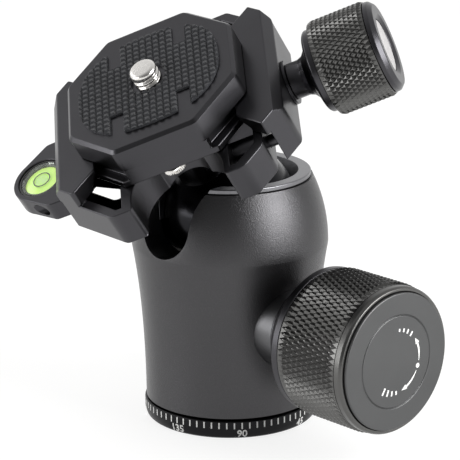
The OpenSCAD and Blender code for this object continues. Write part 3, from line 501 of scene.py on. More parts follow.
def shaded(colour, factor):
    """A colour times a factor, as a socket takes it."""
    return (*(min(1.0, c * factor) for c in colour[:3]), 1.0)


def material(name, colour, metallic, roughness):
    """The graph of a new material that is the same all over."""
    made = bpy.data.materials.new(name)
    made.use_nodes = True
    graph = Graph(made)
    graph.set(Base_Color=shaded(colour, 1.0), Metallic=metallic, Roughness=roughness)
    return graph


def grained(name, colour, metallic, coarse, fine, tones, gloss, height=0.0):
    """A finish with a coarse and a fine noise, each given by its scale and detail.

    tones holds the share of each noise in the colour and the colour's two factors, gloss the roughness and
    what each noise adds to it, and height the bump of the fine noise.
    """
    graph = material(name, colour, metallic, gloss[0])
    broad, grain = graph.noise(*coarse), graph.noise(*fine)
    graph.set(Base_Color=graph.tones(broad * tones[0] + grain * tones[1], colour, *tones[2:]),
              Roughness=gloss[0] + broad * gloss[1] + grain * gloss[2])
    if height:
        graph.set(Normal=graph.bump(grain, height))
    return graph


def anodised(name, colour, roughness, grain=2600.0, grain_height=0.004 * MM, metallic=1.0):
    """Blasted and anodised aluminium: fine even grain, slow changes of gloss, faint rub marks."""
    grained(name, colour, metallic, (90.0, 3.0), (grain, 3.0), (0.7, 0.3, 0.86, 1.16),
            (roughness - 0.05, 0.07, 0.05), grain_height)


def crackle_coat(name, colour, roughness):
    """Matt coating with a fine bright speckle, as a wet-look grain lit from the side: the specks are painted
    glints in its colour, over a slow random tone and a real grain bump.
    """
    graph = material(name, colour, 0.95, roughness)
    place = graph.place()
    grain = graph.noise(4000.0, 2.0, 0.6, place)
    broad = graph.noise(60.0, 2.0, 0.5, place)
    # painted glints: bright specks in the colour stand in for the grain catching the light
    painted_glints = graph.node("ShaderNodeValToRGB", {"stops": ((0.5, 0.0), (0.64, 1.0))}, grain)
    graph.set(Base_Color=graph.tones(painted_glints * 0.35 + broad * 0.3, colour, 0.92, 1.2),
              Roughness=roughness + broad * 0.05 - grain * 0.1,
              Normal=graph.bump(grain, 0.065 * MM))


def turned_metal(name, colour, roughness, seat, pitch=0.05 * MM):
    """Turned metal: fine rings round a seat's third axis, with a little smear of gloss."""
    graph = material(name, colour, 1.0, roughness)
    place = graph.place().minus(seat[0])
    across, up, out = (place.dot(axis) for axis in seat[1:])
    distance = (across * across + up * up).math("SQRT")
    rings = ((distance + out) * (2 * math.pi / pitch)).math("SINE")
    smear = graph.noise(700.0, 3.0)
    graph.set(Base_Color=graph.tones(smear, colour, 0.88, 1.08),
              Roughness=(roughness - 0.04) + smear * 0.09,
              Normal=graph.bump(rings * 0.5 + smear * 0.3, 0.002 * MM))


def rubber(name, colour):
    """Moulded rubber: a fine grain and dusty high spots."""
    grained(name, colour, 0.0, (240.0, 2.0), (1900.0, 3.0), (0.6, 0.3, 0.7, 1.5),
            (0.2, 0.0, 0.14), 0.008 * MM)


def moulded(name, colour, roughness, coat=0.0, grain_height=0.002 * MM):
    """Moulded plastic: faint flow marks and fine grain."""
    graph = grained(name, colour, 0.0, (160.0, 2.0), (3000.0, 2.0), (1.0, 0.0, 0.93, 1.07),
                    (roughness - 0.03, 0.05, 0.03), grain_height)
    graph.set(Coat_Weight=coat)


def clear_plastic(name, colour):
    """Clear plastic with a faint haze."""
    graph = grained(name, colour, 0.0, (400.0, 2.0), (1500.0, 2.0), (1.0, 0.0, 1.0, 0.96), (0.02, 0.04, 0.0))
    graph.set(Transmission_Weight=1.0, IOR=1.45)


def engraved_paint(name, colour):
    """Paint in an engraving: slightly uneven and matt."""
    grained(name, colour, 0.0, (240.0, 2.0), (1500.0, 3.0), (0.0, 1.0, 0.82, 1.0), (0.45, 0.0, 0.2))


def level_fluid(name, colour):
    """Dyed fluid over a pale reflector, with painted light: it glows by emission though it is no lamp, and its
    colour and glow grow brighter towards its rim.
    """
    graph = material(name, colour, 0.0, 0.12)
    place = graph.place().minus(HEAD[0])
    across = place.dot(HEAD[1]) + LEVEL_OUT
    along = place.dot(HEAD[2])
    distance = (across * across + along * along).math("SQRT") * (1 / LEVEL_R)
    ripple = graph.noise(500.0, 3.0)
    # painted glow: colour and emission both brighten towards the rim
    painted_glow = graph.tones((distance * distance * 0.7 + ripple * 0.3).clamped(0.0, 1.0), colour, 1.0, 1.5)
    graph.set(Base_Color=painted_glow, Emission_Color=painted_glow, Roughness=0.08 + ripple * 0.1, Emission_Strength=0.42,
              Coat_Weight=0.6)


# where the level's fluid is: its distance from the stem's axis and its radius
LEVEL_ENDS = span("level_liquid", HEAD, 0)
LEVEL_OUT = -sum(LEVEL_ENDS) / 2
LEVEL_R = (LEVEL_ENDS[1] - LEVEL_ENDS[0]) / 2


# ---- settings


def length(name, description, default_mm, low_mm=0.0, high_mm=100.0):
    return bpy.props.FloatProperty(name=name, description=description, default=default_mm * MM,
                                   min=low_mm * MM, max=high_mm * MM, unit="LENGTH", precision=5)


def count(name, description, default):
    return bpy.props.IntProperty(name=name, description=description, default=default, min=1, max=400)


def colour(name, description, default):
    return bpy.props.FloatVectorProperty(name=name, description=description, default=default, size=3,
                                         min=0.0, max=1.0, subtype="COLOR")


def amount(name, description, default, low=0.0, high=1000.0):
    return bpy.props.FloatProperty(name=name, description=description, default=default, min=low, max=high)


def angle(name, description, degrees):
    return bpy.props.FloatProperty(name=name, description=description, default=math.radians(degrees),
                                   subtype="ANGLE")


class BallheadFinish(bpy.types.PropertyGroup):
    """Colours of the finishes, as linear light."""

    black: colour("Black", "Anodised clamp, jaw and plate", (0.064, 0.063, 0.068))
    coat: colour("Coating", "Matt coating of the housing", (0.074, 0.073, 0.076))
    bush: colour("Bush", "Bush at the main knob's root", (0.13, 0.13, 0.135))
    knurl: colour("Knurl", "Knurled grips", (0.118, 0.117, 0.114))
    face: colour("Knob face", "Face discs of the knobs", (0.106, 0.107, 0.108))
    ring: colour("Degree ring", "Anodised base with the degree marks", (0.018, 0.018, 0.019))
    collar: colour("Collar", "Ring over the ball", (0.20, 0.20, 0.21))
    ball: colour("Ball", "Polished ball and stem", (0.018, 0.018, 0.020))
    steel: colour("Steel", "Screws", (0.82, 0.80, 0.77))
    brass: colour("Brass", "Wedge pin and brake pad", (0.72, 0.53, 0.26))
    polymer: colour("Polymer", "Washers, cup and socket ring", (0.80, 0.79, 0.74))
    rubber: colour("Rubber", "Pad on the quick plate", (0.042, 0.043, 0.047))
    disc: colour("Bright disc", "Disc in the clamp knob's end", (0.53, 0.518, 0.515))
    fluid: colour("Level fluid", "Dyed fluid of the spirit level", (0.50, 0.82, 0.15))
    mark: colour("Marks", "Paint of the degree marks and arrows", (0.92, 0.92, 0.90))


class BallheadKnurls(bpy.types.PropertyGroup):
    """Sizes of the diamond knurls."""

    lock_around: count("Lock diamonds", "Diamonds round the main knob", 84)
    lock_rows: count("Lock rows", "Half diamonds along the main knob", 11)
    lock_depth: length("Lock depth", "Depth of the main knob's knurl", 0.42)
    clamp_around: count("Clamp diamonds", "Diamonds round the clamp knob", 56)
    clamp_rows: count("Clamp rows", "Half diamonds along the clamp knob", 12)
    clamp_depth: length("Clamp depth", "Depth of the clamp knob's knurl", 0.36)
    pan_around: count("Pan diamonds", "Diamonds round the panning knob", 42)
    pan_rows: count("Pan rows", "Half diamonds along the panning knob", 8)
    pan_depth: length("Pan depth", "Depth of the panning knob's knurl", 0.33)
    crest: amount("Crest", "Size of a diamond's blunt crest, of the whole", 0.2, 0.02, 0.9)


class BallheadMarks(bpy.types.PropertyGroup):
    """Sizes of the degree marks and of the marks on the main knob."""

    ticks: count("Ticks", "Degree ticks in a full turn", 72)
    tick_w: length("Tick width", "Width of a tick", 0.34)
    tick_low: length("Tick foot", "Height at which a tick starts", 2.45)
    tick_high: length("Tick top", "Height at which a tick ends", 3.95)
    number_h: length("Number height", "Height of the degree numbers", 1.7)
    number_low: length("Number foot", "Height at which a number starts", 0.48)
    number_step: count("Number step", "Degrees between two numbers", 45)
    zero_turn: angle("Turn of 90", "Angle of the number 90 from the front, to the right", 6.94)
    proud: length("Paint", "How far paint stands proud of the metal", 0.02)
    arrow_r: length("Arrow radius", "Radius of the arc on which the arrows lie", 7.2)
    arrow_w: length("Arrow width", "Width of an arrow's shaft", 0.5)
    head_w: length("Head width", "Width of an arrow's head", 1.3)
    dot_r: length("Dot radius", "Radius of the dot between the arrows", 0.55)


class BallheadPlate(bpy.types.PropertyGroup):
    """Sizes of the pad, the screws and the level."""

    pad_across: length("Pad pitch across", "Pitch of the pad's studs across the dovetail", 1.62)
    pad_along: length("Pad pitch along", "Pitch of the pad's studs along the dovetail", 1.56)
    pad_depth: length("Pad depth", "Depth of the pad's studs", 0.5)
    pad_crest: amount("Pad crest", "Size of a stud's blunt crest, of the whole", 0.42, 0.02, 0.9)
    deck_t: length("Deck", "Thickness of the quick plate's deck", 6.1)
    deck_corner: length("Deck corner", "The deck's slanted corners lie where |x| + |y| is this", 29.3)
    deck_round: length("Deck rounding", "Radius of the deck's upright corners", 2.6)
    deck_bevel: length("Deck bevel", "Width of the bevel along the deck's top edge", 0.8)
    stud_hole: length("Stud hole", "Radius of the camera screw's hole in the deck", 3.26)
    edge: length("Edge", "Width of the clamp's rounded edges", 0.3)
    corner: length("Corner", "Width of the clamp's rounded upright corners", 1.6)
    thread_r: length("Thread radius", "Radius of the camera screw, a quarter inch across", 3.175)
    thread_pitch: length("Thread pitch", "Pitch of the camera screw, 20 to the inch", 1.27)
    thread_depth: length("Thread depth", "Depth of the camera screw's thread", 0.55)
    stop_ribs: count("Stop ribs", "Ribs round a safety stop's head", 36)
    rib_depth: length("Rib depth", "Depth of a safety stop's ribs", 0.22)
    shank_r: length("Stop shank", "Radius of a safety stop's shank", 1.3)
    fluid_dome: length("Fluid dome", "How far the level's fluid falls from its middle to its rim", 0.35)
    ring_r: length("Level ring", "Radius of the ring printed over the level's fluid", 2.05)
    ring_w: length("Level ring width", "Width of the printed ring", 0.28)
    bubble_r: length("Bubble", "Radius of the level's bubble", 1.55)
    bubble_t: length("Bubble thickness", "Thickness of the level's bubble", 0.2)


class BallheadStage(bpy.types.PropertyGroup):
    """Camera, lamps and floor."""

    lens: amount("Lens", "Focal length on a 36 mm frame, in mm", 193.5, 20.0)
    distance: length("Distance", "From the camera to its target", 576.4, 10.0, 5000.0)
    target_z: length("Target height", "Height of the camera's target", 44.1)
    target_x: length("Target side", "Sideways place of the camera's target", -0.2, -50.0)
    floor_glow: amount("Floor glow", "How brightly the floor shines by itself where it is seen", 0.81)
    pitch: angle("Pitch", "How far the camera looks down", 16.24)
    roll: angle("Roll", "Turn of the camera about its own axis", math.degrees(-0.0082))
    key: amount("Key", "Power of the lamp at the right, in watts", 4.4)
    side: amount("Side", "Power of the lamp at the left, in watts", 1.4)
    back: amount("Back", "Power of the lamp behind, in watts", 0.5)
    sky_front: amount("Front sky", "Light from the front", 0.12)
    sky_back: amount("Back sky", "Light from behind", 1.0)


def settings(name):
    return getattr(bpy.context.scene, "ballhead_" + name)


# ---- operators


NODE_BODY = {node: body for body, nodes in frame["record"]["behaviour"]["bodies"].items() for node in nodes}
NODE_SLOT = {part["node"]: part["material_slot"] for part in frame["record"]["subparts"]}


def finish_of(node):
    """The material that the finishes operator made for a node or for its slot."""
    own = bpy.data.materials.get("finish_" + node)
    return own or bpy.data.materials["finish_" + NODE_SLOT[node]]


def dressed(piece, node, replaces=True):
    """Gives a piece a CAD node's finish and body; as a rule it replaces the node."""
    return finish_piece(piece, NODE_BODY[node], finish_of(node), [node] if replaces else ())


def painted(piece, body):
    """Gives a piece of paint its finish and its body."""
    return finish_piece(piece, body, bpy.data.materials["finish_mark"])


class BALLHEAD_OT_finishes(bpy.types.Operator):
    """Makes every finish and gives it to the CAD nodes"""

    bl_idname = "ballhead.finishes"
    bl_label = "Finishes"

    def execute(self, context):
        look = settings("finish")
        anodised("finish_black_anodised", look.black, 0.31)
        anodised("finish_degree_base", look.ring, 0.4)
        crackle_coat("finish_housing_finish", look.coat, 0.37)
        anodised("finish_lock_bush", look.bush, 0.34)
        anodised("finish_knurled_black", look.knurl, 0.26, 3200.0)
        anodised("finish_face_grey", look.face, 0.42, 3400.0, 0.006 * MM)
        anodised("finish_lock_knob_bezel", look.knurl, 0.34)
        turned_metal("finish_collar_grey", look.collar, 0.34, BASE)
        turned_metal("finish_polished_ball", look.ball, 0.2, HEAD, 0.08 * MM)
        turned_metal("finish_steel", look.steel, 0.22, HEAD)
        turned_metal("finish_brass", look.brass, 0.25, LOCK_KNOB)
        moulded("finish_polymer", look.polymer, 0.45)
        rubber("finish_rubber", look.rubber)
        anodised("finish_bright_disc", look.disc, 0.45, metallic=0.5)
        level_fluid("finish_level_green", look.fluid)
        moulded("finish_level_black", (0.005, 0.005, 0.005), 0.16, 0.3, 0.0002 * MM)
        clear_plastic("finish_clear", (0.96, 1.0, 0.94))
        engraved_paint("finish_mark", look.mark)
        # blackened rods, and turned steel whose rings run round its own axis
        turned_metal("finish_guide_rods", look.black, 0.3, CLAMP_KNOB)
        for node, seat in (("lock_spindle", LOCK_KNOB), ("pan_screw", PAN_KNOB), ("clamp_screw", CLAMP_KNOB),
                           ("tripod_bush", BASE), ("axle_nut", BASE)):
            turned_metal("finish_" + node, look.steel, 0.24, seat)
        for node, held in frame["nodes"].items():
            held.data.materials.clear()
            held.data.materials.append(finish_of(node))
        return {"FINISHED"}


class BALLHEAD_OT_edges(bpy.types.Operator):
    """Replaces the milled and turned black pieces with copies whose edges are rounded"""

    bl_idname = "ballhead.edges"
    bl_label = "Rounded edges"

    def execute(self, context):
        sizes = settings("plate")
        widths = {"lock_knob_face": 0.12, "lock_knob_bezel": 0.2, "lock_knob_core": 0.25,
                  "clamp_knob_core": 0.2, "pan_knob_core": 0.2, "pan_knob_face": 0.2, "lock_bush": 0.2,
                  "lock_washer": 0.2, "collar": 0.12, "housing": 0.0, "degree_base": 0.1,
                  "clamp_knob_disc": 0.1, "level_cup": 0.12}
        pieces = {node: softened(node, width * MM) for node, width in widths.items()}
        for node in ("clamp_base", "moving_jaw"):
            pieces[node] = softened(node, sizes.edge, sizes.corner)
        for node, piece in pieces.items():
            dressed(piece, node)
        return {"FINISHED"}


def cut_above(piece, height):
    """Keeps what lies below a height over the ball, and closes the cut."""
    with reworked(piece.data) as work:
        sliced(work, Vector(HEAD[0] + height * HEAD[3]), Vector(HEAD[3]), clear_outer=True)
        bmesh.ops.triangle_fill(work, edges=[e for e in work.edges if e.is_boundary], use_beauty=True)
        flattened(work)


class BALLHEAD_OT_plate(bpy.types.Operator):
    """Makes the quick plate: a bevelled deck with rounded corners on the dovetail rail"""

    bl_idname = "ballhead.plate"
    bl_label = "Quick plate"

    def execute(self, context):
        sizes = settings("plate")
        node = "quick_plate"
        top = span(node, HEAD)[1]
        foot = top - sizes.deck_t
        rim = foot - 0.005 * MM
        rail = copied(node, "plate_rail")
        cut_above(rail, rim)
        dressed(rounded(rail, sizes.edge, rim=rim), node)
        deck = new_piece("plate_deck", self.deck(sizes, foot, top), HEAD, math.radians(20))
        dressed(deck, node, replaces=False)
        return {"FINISHED"}

    def deck(self, sizes, foot, top):
        """Rounded octagons, each inset and raised by a bevel's profile, closed in to the screw's hole."""
        half_w, half_l = span("quick_plate", HEAD, 0)[1], span("quick_plate", HEAD, 1)[1]
        bevel = sizes.deck_bevel
        # insets in bevels, and heights; a small step eases each of the bevel's own two edges
        profile = ((0.0, foot), (0.0, top - 1.06 * bevel), (0.03, top - 0.92 * bevel),
                   (0.9, top - 0.06 * bevel), (1.06, top))
        outlines = [rounded_octagon(half_w, half_l, sizes.deck_corner, sizes.deck_round, share * bevel)
                    for share, height in profile]
        heights = [height for share, height in profile]
        turn = np.arctan2(*outlines[0][:, ::-1].T)
        hole = sizes.stud_hole * np.column_stack([np.cos(turn), np.sin(turn)])
        points = np.stack([np.column_stack([outline, np.full(len(outline), height)]) for outline, height in
                           zip([hole] + outlines + [hole, hole], [foot] + heights + [top, foot])], 1)
        return points.reshape(-1, 3), [ring_faces(*points.shape[:2])]


class BALLHEAD_OT_grips(bpy.types.Operator):
    """Cuts the diamond knurls of the three knobs"""

    bl_idname = "ballhead.grips"
    bl_label = "Knurled grips"

    def execute(self, context):
        sizes = settings("knurls")
        grips = (("lock_knob_grip", LOCK_KNOB, sizes.lock_around, sizes.lock_rows, sizes.lock_depth),
                 ("clamp_knob_grip", CLAMP_KNOB, sizes.clamp_around, sizes.clamp_rows, sizes.clamp_depth),
                 ("pan_knob_grip", PAN_KNOB, sizes.pan_around, sizes.pan_rows, sizes.pan_depth))
        for node, seat, around, rows, depth in grips:
            bore = np.hypot(*local(node, seat)[:, :2].T).min()
            shape = knurled(reach(node, seat), bore, *span(node, seat), around, rows, depth, sizes.crest)
            dressed(new_piece(node.replace("grip", "knurl"), shape, seat), node)
        return {"FINISHED"}


def ring_profile():
    """Heights of the degree ring's corners, and its radius at each."""
    points = local("degree_base", BASE)
    radius = np.hypot(*points[:, :2].T)
    outside = radius > 0.9 * radius.max()
    height, level = np.unique(np.round(points[outside, 2], 6), return_inverse=True)
    widest = np.zeros(len(height))
    np.maximum.at(widest, level, radius[outside])
    return height, widest


RING_HEIGHTS, RING_RADII = ring_profile()
# How deep paint reaches into the metal, a numeral's height in its font's size, and how bold its strokes are.
PAINT_ROOT = 0.05 * MM
CAP_SHARE = 0.7
BOLDNESS = 0.03


def ring_radius(height):
    """Radius of the degree ring's metal at a height."""
    return np.interp(height, RING_HEIGHTS, RING_RADII)


def on_ring(turn, height, proud):
    """A place on the degree ring, (r sin turn, -r cos turn, height), with turn to the right of the front.

    The radius r is the metal's at that height, and proud more.
    """
    radius = ring_radius(height) + proud
    return np.stack([radius * np.sin(turn), -radius * np.cos(turn), height], -1)


class BALLHEAD_OT_degrees(bpy.types.Operator):
    """Paints the degree ticks and numbers on the base's ring"""

    bl_idname = "ballhead.degrees"
    bl_label = "Degree marks"

    def execute(self, context):
        sizes = settings("marks")
        half = sizes.tick_w / 2 / reach("degree_base", BASE)
        turns = sizes.zero_turn + np.arange(sizes.ticks) * (2 * np.pi / sizes.ticks)
        low, high = sizes.tick_low, sizes.tick_high
        # each tick is a box: four corners on the ring, once in the metal and once proud of it
        corners = ((-half, low), (half, low), (half, high), (-half, high))
        layers = [on_ring(turns + side, np.full(sizes.ticks, height), proud)
                  for proud in (-PAINT_ROOT, sizes.proud) for side, height in corners]
        points = np.stack(layers, 1).reshape(-1, 3)
        box = np.array([[0, 1, 2, 3], [4, 5, 6, 7], [0, 1, 5, 4], [1, 2, 6, 5], [2, 3, 7, 6], [3, 0, 4, 7]])
        faces = (np.arange(sizes.ticks)[:, None, None] * 8 + box).reshape(-1, 4)
        painted(new_piece("degree_ticks", (points, [faces]), BASE), "base")
        for degrees in range(0, 360, sizes.number_step):
            turn = sizes.zero_turn - math.radians(degrees - 90)
            painted(self.number(str(degrees), turn, sizes), "base")
        return {"FINISHED"}

    def number(self, text, turn, sizes):
        """A number bent round the ring: its width becomes an angle, its height stays, its depth is paint."""
        curve = bpy.data.curves.new("degrees_" + text, "FONT")
        curve.body = text
        curve.align_x = "CENTER"
        curve.size = sizes.number_h / CAP_SHARE
        curve.offset = BOLDNESS * sizes.number_h
        curve.extrude = sizes.proud
        curve.resolution_u = 3
        flat = in_scene("degrees_flat", curve)
        bpy.context.view_layer.update()
        mesh = bpy.data.meshes.new_from_object(flat)
        mesh.name = "degrees_" + text
        bpy.data.objects.remove(flat)
        # the strokes get points wherever the ring's profile bends
        with reworked(mesh) as work:
            bmesh.ops.remove_doubles(work, verts=work.verts, dist=0.0001 * MM)
            for height in RING_HEIGHTS:
                sliced(work, (0, height - sizes.number_low, 0), (0, 1, 0))
        across, up, depth = values_of(mesh.vertices, "co", 3).T
        height = up + sizes.number_low
        bent = on_ring(turn + across / ring_radius(height), height, depth)
        mesh.vertices.foreach_set("co", bent.ravel())
        mesh.update()
        return in_scene("degrees_" + text, mesh)


# Degrees from the right: each arrow's start and tip, the dot, and the bars with their half lengths in mm.
# The bars grow towards the tight side, and stand where a maker would put words.
FACE_ARROWS = ((-10, 36), (-28.5, -76.6))
FACE_DOT = -19.4
FACE_BARS = ((50, 0.62), (61, 0.52), (72, 0.42), (83, 0.32),
             (-90, 0.42), (-101, 0.58), (-112, 0.74), (-123, 0.9))


class BALLHEAD_OT_arrows(bpy.types.Operator):
    """Paints the two arrows, the dot and the plain friction scale on the main knob's face"""

    bl_idname = "ballhead.arrows"
    bl_label = "Knob face marks"

    def execute(self, context):
        sizes = settings("marks")
        face = span("lock_knob_face", LOCK_KNOB)[1]
        low, high = face - PAINT_ROOT, face + sizes.proud
        parts = [self.arrow(start, tip, sizes, low, high) for start, tip in FACE_ARROWS]
        parts.append(self.dot(FACE_DOT, sizes, low, high))
        parts += [self.bar(place, size * MM, sizes, low, high) for place, size in FACE_BARS]
        painted(new_piece("lock_face_marks", joined(parts), LOCK_KNOB), "lock_knob")
        return {"FINISHED"}

    def arc(self, start, end, steps, radius):
        """Points on a circle between two angles, in degrees from the right."""
        angle = np.radians(np.linspace(start, end, steps))
        return radius * np.column_stack([np.cos(angle), np.sin(angle)])

    def arrow(self, start, tip, sizes, low, high):
        """An arc whose half width grows along half the shaft, jumps at the neck and falls to nothing."""
        steps, tail, neck = 40, 0.35, 0.72
        share = np.linspace(0, 1, steps)
        shaft = sizes.arrow_w / 2 * (tail + (1 - tail) * np.clip(2 * share, 0, 1))
        head = sizes.head_w / 2 * (1 - share) / (1 - neck)
        return strip(self.arc(start, tip, steps, sizes.arrow_r), np.where(share < neck, shaft, head + 1e-6),
                     low, high)

    def dot(self, place, sizes, low, high):
        """A disc, as a short bar whose half width follows a circle."""
        angle = np.linspace(0.02, math.pi - 0.02, 24)
        middle = np.radians(place)
        along = np.array([-math.sin(middle), math.cos(middle)])
        centre = sizes.arrow_r * np.array([math.cos(middle), math.sin(middle)])
        path = centre - sizes.dot_r * np.cos(angle)[:, None] * along
        return strip(path, sizes.dot_r * np.sin(angle), low, high)

    def bar(self, place, half_length, sizes, low, high):
        """A short radial bar at an angle, a little narrower than an arrow's shaft."""
        middle = math.radians(place)
        half_width = 0.45 * sizes.arrow_w
        radius = sizes.arrow_r + np.linspace(-half_length, half_length, 3)
        path = radius[:, None] * np.array([math.cos(middle), math.sin(middle)])
        return strip(path, np.full(3, half_width), low, high)


class BALLHEAD_OT_pad(bpy.types.Operator):
    """Moulds the quick plate's rubber pad with its field of studs"""

    bl_idname = "ballhead.pad"
    bl_label = "Rubber pad"

    def execute(self, context):
        sizes = settings("plate")
        node = "plate_pad"
        low, high = span(node, HEAD)
        columns = 2 * math.ceil(span(node, HEAD, 0)[1] / sizes.pad_across)
        rows = 2 * math.ceil(span(node, HEAD, 1)[1] / sizes.pad_along)
        # the crests end just under the outline's top and the foot well below it, so no two faces coincide
        under, below = 0.01 * MM, 1 * MM
        shape = studded(columns, rows, sizes.pad_across, sizes.pad_along, high - sizes.pad_depth,
                        high - under, low - below, sizes.pad_crest)
        field = new_piece("pad_field", shape, HEAD)
        outline = copied(node, "pad_outline")
        # the field is cut to the pad's outline once, and the cutter goes
        trim = field.modifiers.new("trim", "BOOLEAN")
        trim.operation, trim.solver, trim.object = "INTERSECT", "EXACT", outline
        bpy.context.view_layer.update()
        mesh = bpy.data.meshes.new_from_object(field.evaluated_get(bpy.context.evaluated_depsgraph_get()))
        for used in (field, outline):
            bpy.data.objects.remove(used)
        if len(mesh.polygons) < columns * rows:
            raise RuntimeError("the pad's studs were lost in the cut")
        mesh.name = "pad_studs"
        cleaned(mesh)
        mesh.shade_flat()
        dressed(in_scene("pad_studs", mesh), node)
        return {"FINISHED"}


class BALLHEAD_OT_screws(bpy.types.Operator):
    """Cuts the camera screw's thread and the ribbed heads of the safety stops"""

    bl_idname = "ballhead.screws"
    bl_label = "Screws"

    def execute(self, context):
        sizes = settings("plate")
        self.camera_screw(sizes)
        self.stops(sizes)
        return {"FINISHED"}

    def camera_screw(self, sizes):
        """The CAD screw's foot, cut off under the pad, and a threaded stud on top of it."""
        node = "camera_screw"
        tip = span(node, HEAD)[1]
        sunk, overlap = 1.2 * MM, 0.2 * MM
        stud_foot = span("plate_pad", HEAD)[0] - sunk
        below = copied(node, "camera_screw_foot")
        cut_above(below, stud_foot + overlap)
        dressed(below, node)
        stud = new_piece("camera_screw_stud", self.stud(stud_foot, tip, sizes), HEAD, math.radians(50))
        dressed(stud, node, replaces=False)

    def stud(self, foot, tip, sizes):
        """A single thread: the radius follows a clipped triangle wave of height less turn.

        Above the last turn stands a dome: its radius shrinks by one less the cosine of an angle, while its
        height grows with the sine.
        """
        around, cap, steps_per_turn = 64, 10, 12
        radius, pitch = sizes.thread_r, sizes.thread_pitch
        dome_rise, dome_in, run_out = 1.0 * MM, 0.95 * MM, 0.4 * pitch
        shoulder = tip - dome_rise
        height = np.arange(foot, shoulder, pitch / steps_per_turn)
        turn = np.linspace(0, 2 * np.pi, around, endpoint=False)[:, None]
        phase = np.mod(height / pitch - turn / (2 * np.pi), 1.0)
        wave = np.clip(1.35 - 2.4 * np.abs(phase - 0.5), 0, 1)
        fade = np.clip((shoulder - height) / run_out, 0, 1)
        size = radius - sizes.thread_depth * (1 - wave) * fade
        bend = np.linspace(0, np.pi / 2, cap)[1:]
        dome_size = np.broadcast_to(radius - dome_in * (1 - np.cos(bend)), (around, len(bend)))
        dome_height = shoulder + dome_rise * np.sin(bend)
        size = np.column_stack([np.zeros(around), size, dome_size, np.zeros(around)])
        return waved(size, np.concatenate([[foot], height, dome_height, [tip]]))

    def stops(self, sizes):
        """Two pins with ribbed heads: the head's radius falls and rises by a triangle wave round it."""
        node = "stop_screws"
        along = local(node, HEAD)[:, 1]
        inner, outer = along[along > 0].min(), along.max()
        place, head_r = (outer + inner) / 2, (outer - inner) / 2
        low, high = span(node, HEAD)
        gap = 0.05 * MM
        head_top = span("quick_plate", HEAD)[0] - gap
        turn = np.linspace(0, 2 * np.pi, sizes.stop_ribs * 4, endpoint=False)[:, None]
        wave = np.abs(np.mod(turn * sizes.stop_ribs / (2 * np.pi), 1.0) - 0.5) * 2
        # the head's two rims step in by a little and by more, and a plain shank stands on it
        rims = head_r - MM * np.array([0.5, 0.2, 0, 0, 0.2, 0.5])
        ribs = sizes.rib_depth * np.array([0, 0, 0.4, 1, 1, 0.4, 0, 0, 0, 0])
        radii = np.concatenate([[0], rims, [sizes.shank_r, sizes.shank_r, 0]])
        height = np.array([low, low, low + 0.1 * MM, low + 0.3 * MM, head_top - 0.3 * MM,
                           head_top - 0.1 * MM, head_top, head_top, high, high])
        points, faces = waved(np.maximum(radii - ribs * (1 - wave), 0), height)
        both = [(points + [0, side * place, 0], faces) for side in (-1, 1)]
        dressed(new_piece("stop_screws_ribbed", joined(both), HEAD, math.radians(25)), node)


class BALLHEAD_OT_level(bpy.types.Operator):
    """Fills the spirit level: domed fluid, bubble and printed ring"""

    bl_idname = "ballhead.level"
    bl_label = "Spirit level"

    def execute(self, context):
        sizes = settings("plate")
        node = "level_liquid"
        low, high = span(node, HEAD)
        seat = HEAD.copy()
        seat[0] = placed([-LEVEL_OUT, 0, 0], HEAD)
        # the fluid's top falls with the square of the distance from its middle
        share = np.linspace(0, 1, 12)
        dome = np.column_stack([LEVEL_R * share, high - sizes.fluid_dome * share ** 2])[::-1]
        profile = np.concatenate([[[0, low], [LEVEL_R, low]], dome])
        dressed(new_piece("level_fluid", turned(profile, 96), seat, math.radians(40)), node)

        inner, outer = sizes.ring_r - sizes.ring_w / 2, sizes.ring_r + sizes.ring_w / 2
        print_top = span("level_window", HEAD)[0] - 0.01 * MM
        print_foot = print_top - 0.05 * MM
        ring = ((inner, print_foot), (outer, print_foot), (outer, print_top), (inner, print_top),
                (inner, print_foot))
        printed = new_piece("level_ring", turned(ring, 96), seat)
        finish_piece(printed, NODE_BODY[node], bpy.data.materials["finish_level_black"])

        # the bubble is half an ellipse, turned about its own axis
        bend = np.linspace(0, np.pi, 13)
        bubble_profile = np.column_stack([sizes.bubble_r * np.sin(bend), sizes.bubble_t / 2 * np.cos(bend)])
        off_middle, sunk = (-0.15 * MM, 0.1 * MM), 0.02 * MM
        bubble_seat = seat.copy()
        bubble_seat[0] = placed([*off_middle, high - sunk], seat)
        bubble = new_piece("level_bubble", turned(bubble_profile, 48), bubble_seat, math.radians(60))
        finish_piece(bubble, NODE_BODY[node], self.bubble_finish())
        return {"FINISHED"}

    def bubble_finish(self):
        """Air under the window: a paler, glossier spot of the fluid's own colour, with a painted glow: it shines
        by emission though it is no lamp.
        """
        look = settings("finish")
        pale = tuple(0.5 * c + 0.45 for c in look.fluid)
        graph = material("finish_bubble", pale, 0.0, 0.08)
        ripple = graph.noise(900.0, 2.0)
        # painted glow: the bubble's colour also feeds its emission
        painted_glow = graph.blend(ripple, shaded(pale, 1.0), shaded(look.fluid, 1.25))
        graph.set(Base_Color=painted_glow, Emission_Color=painted_glow, Emission_Strength=0.25,
                  Roughness=0.05 + ripple * 0.08)
        return graph.owner


# Each lamp's name, side length and place; the picture's width and the lens's shift, in pixels.
LAMPS = (("key", 0.36, (0.50, -0.28, 0.26)), ("side", 0.3, (-0.58, -0.16, 0.12)),
         ("back", 0.3, (-0.56, 0.22, 0.38)))
FRAME_WIDTH = 460
LENS_SHIFT = (1.0, 0.6)


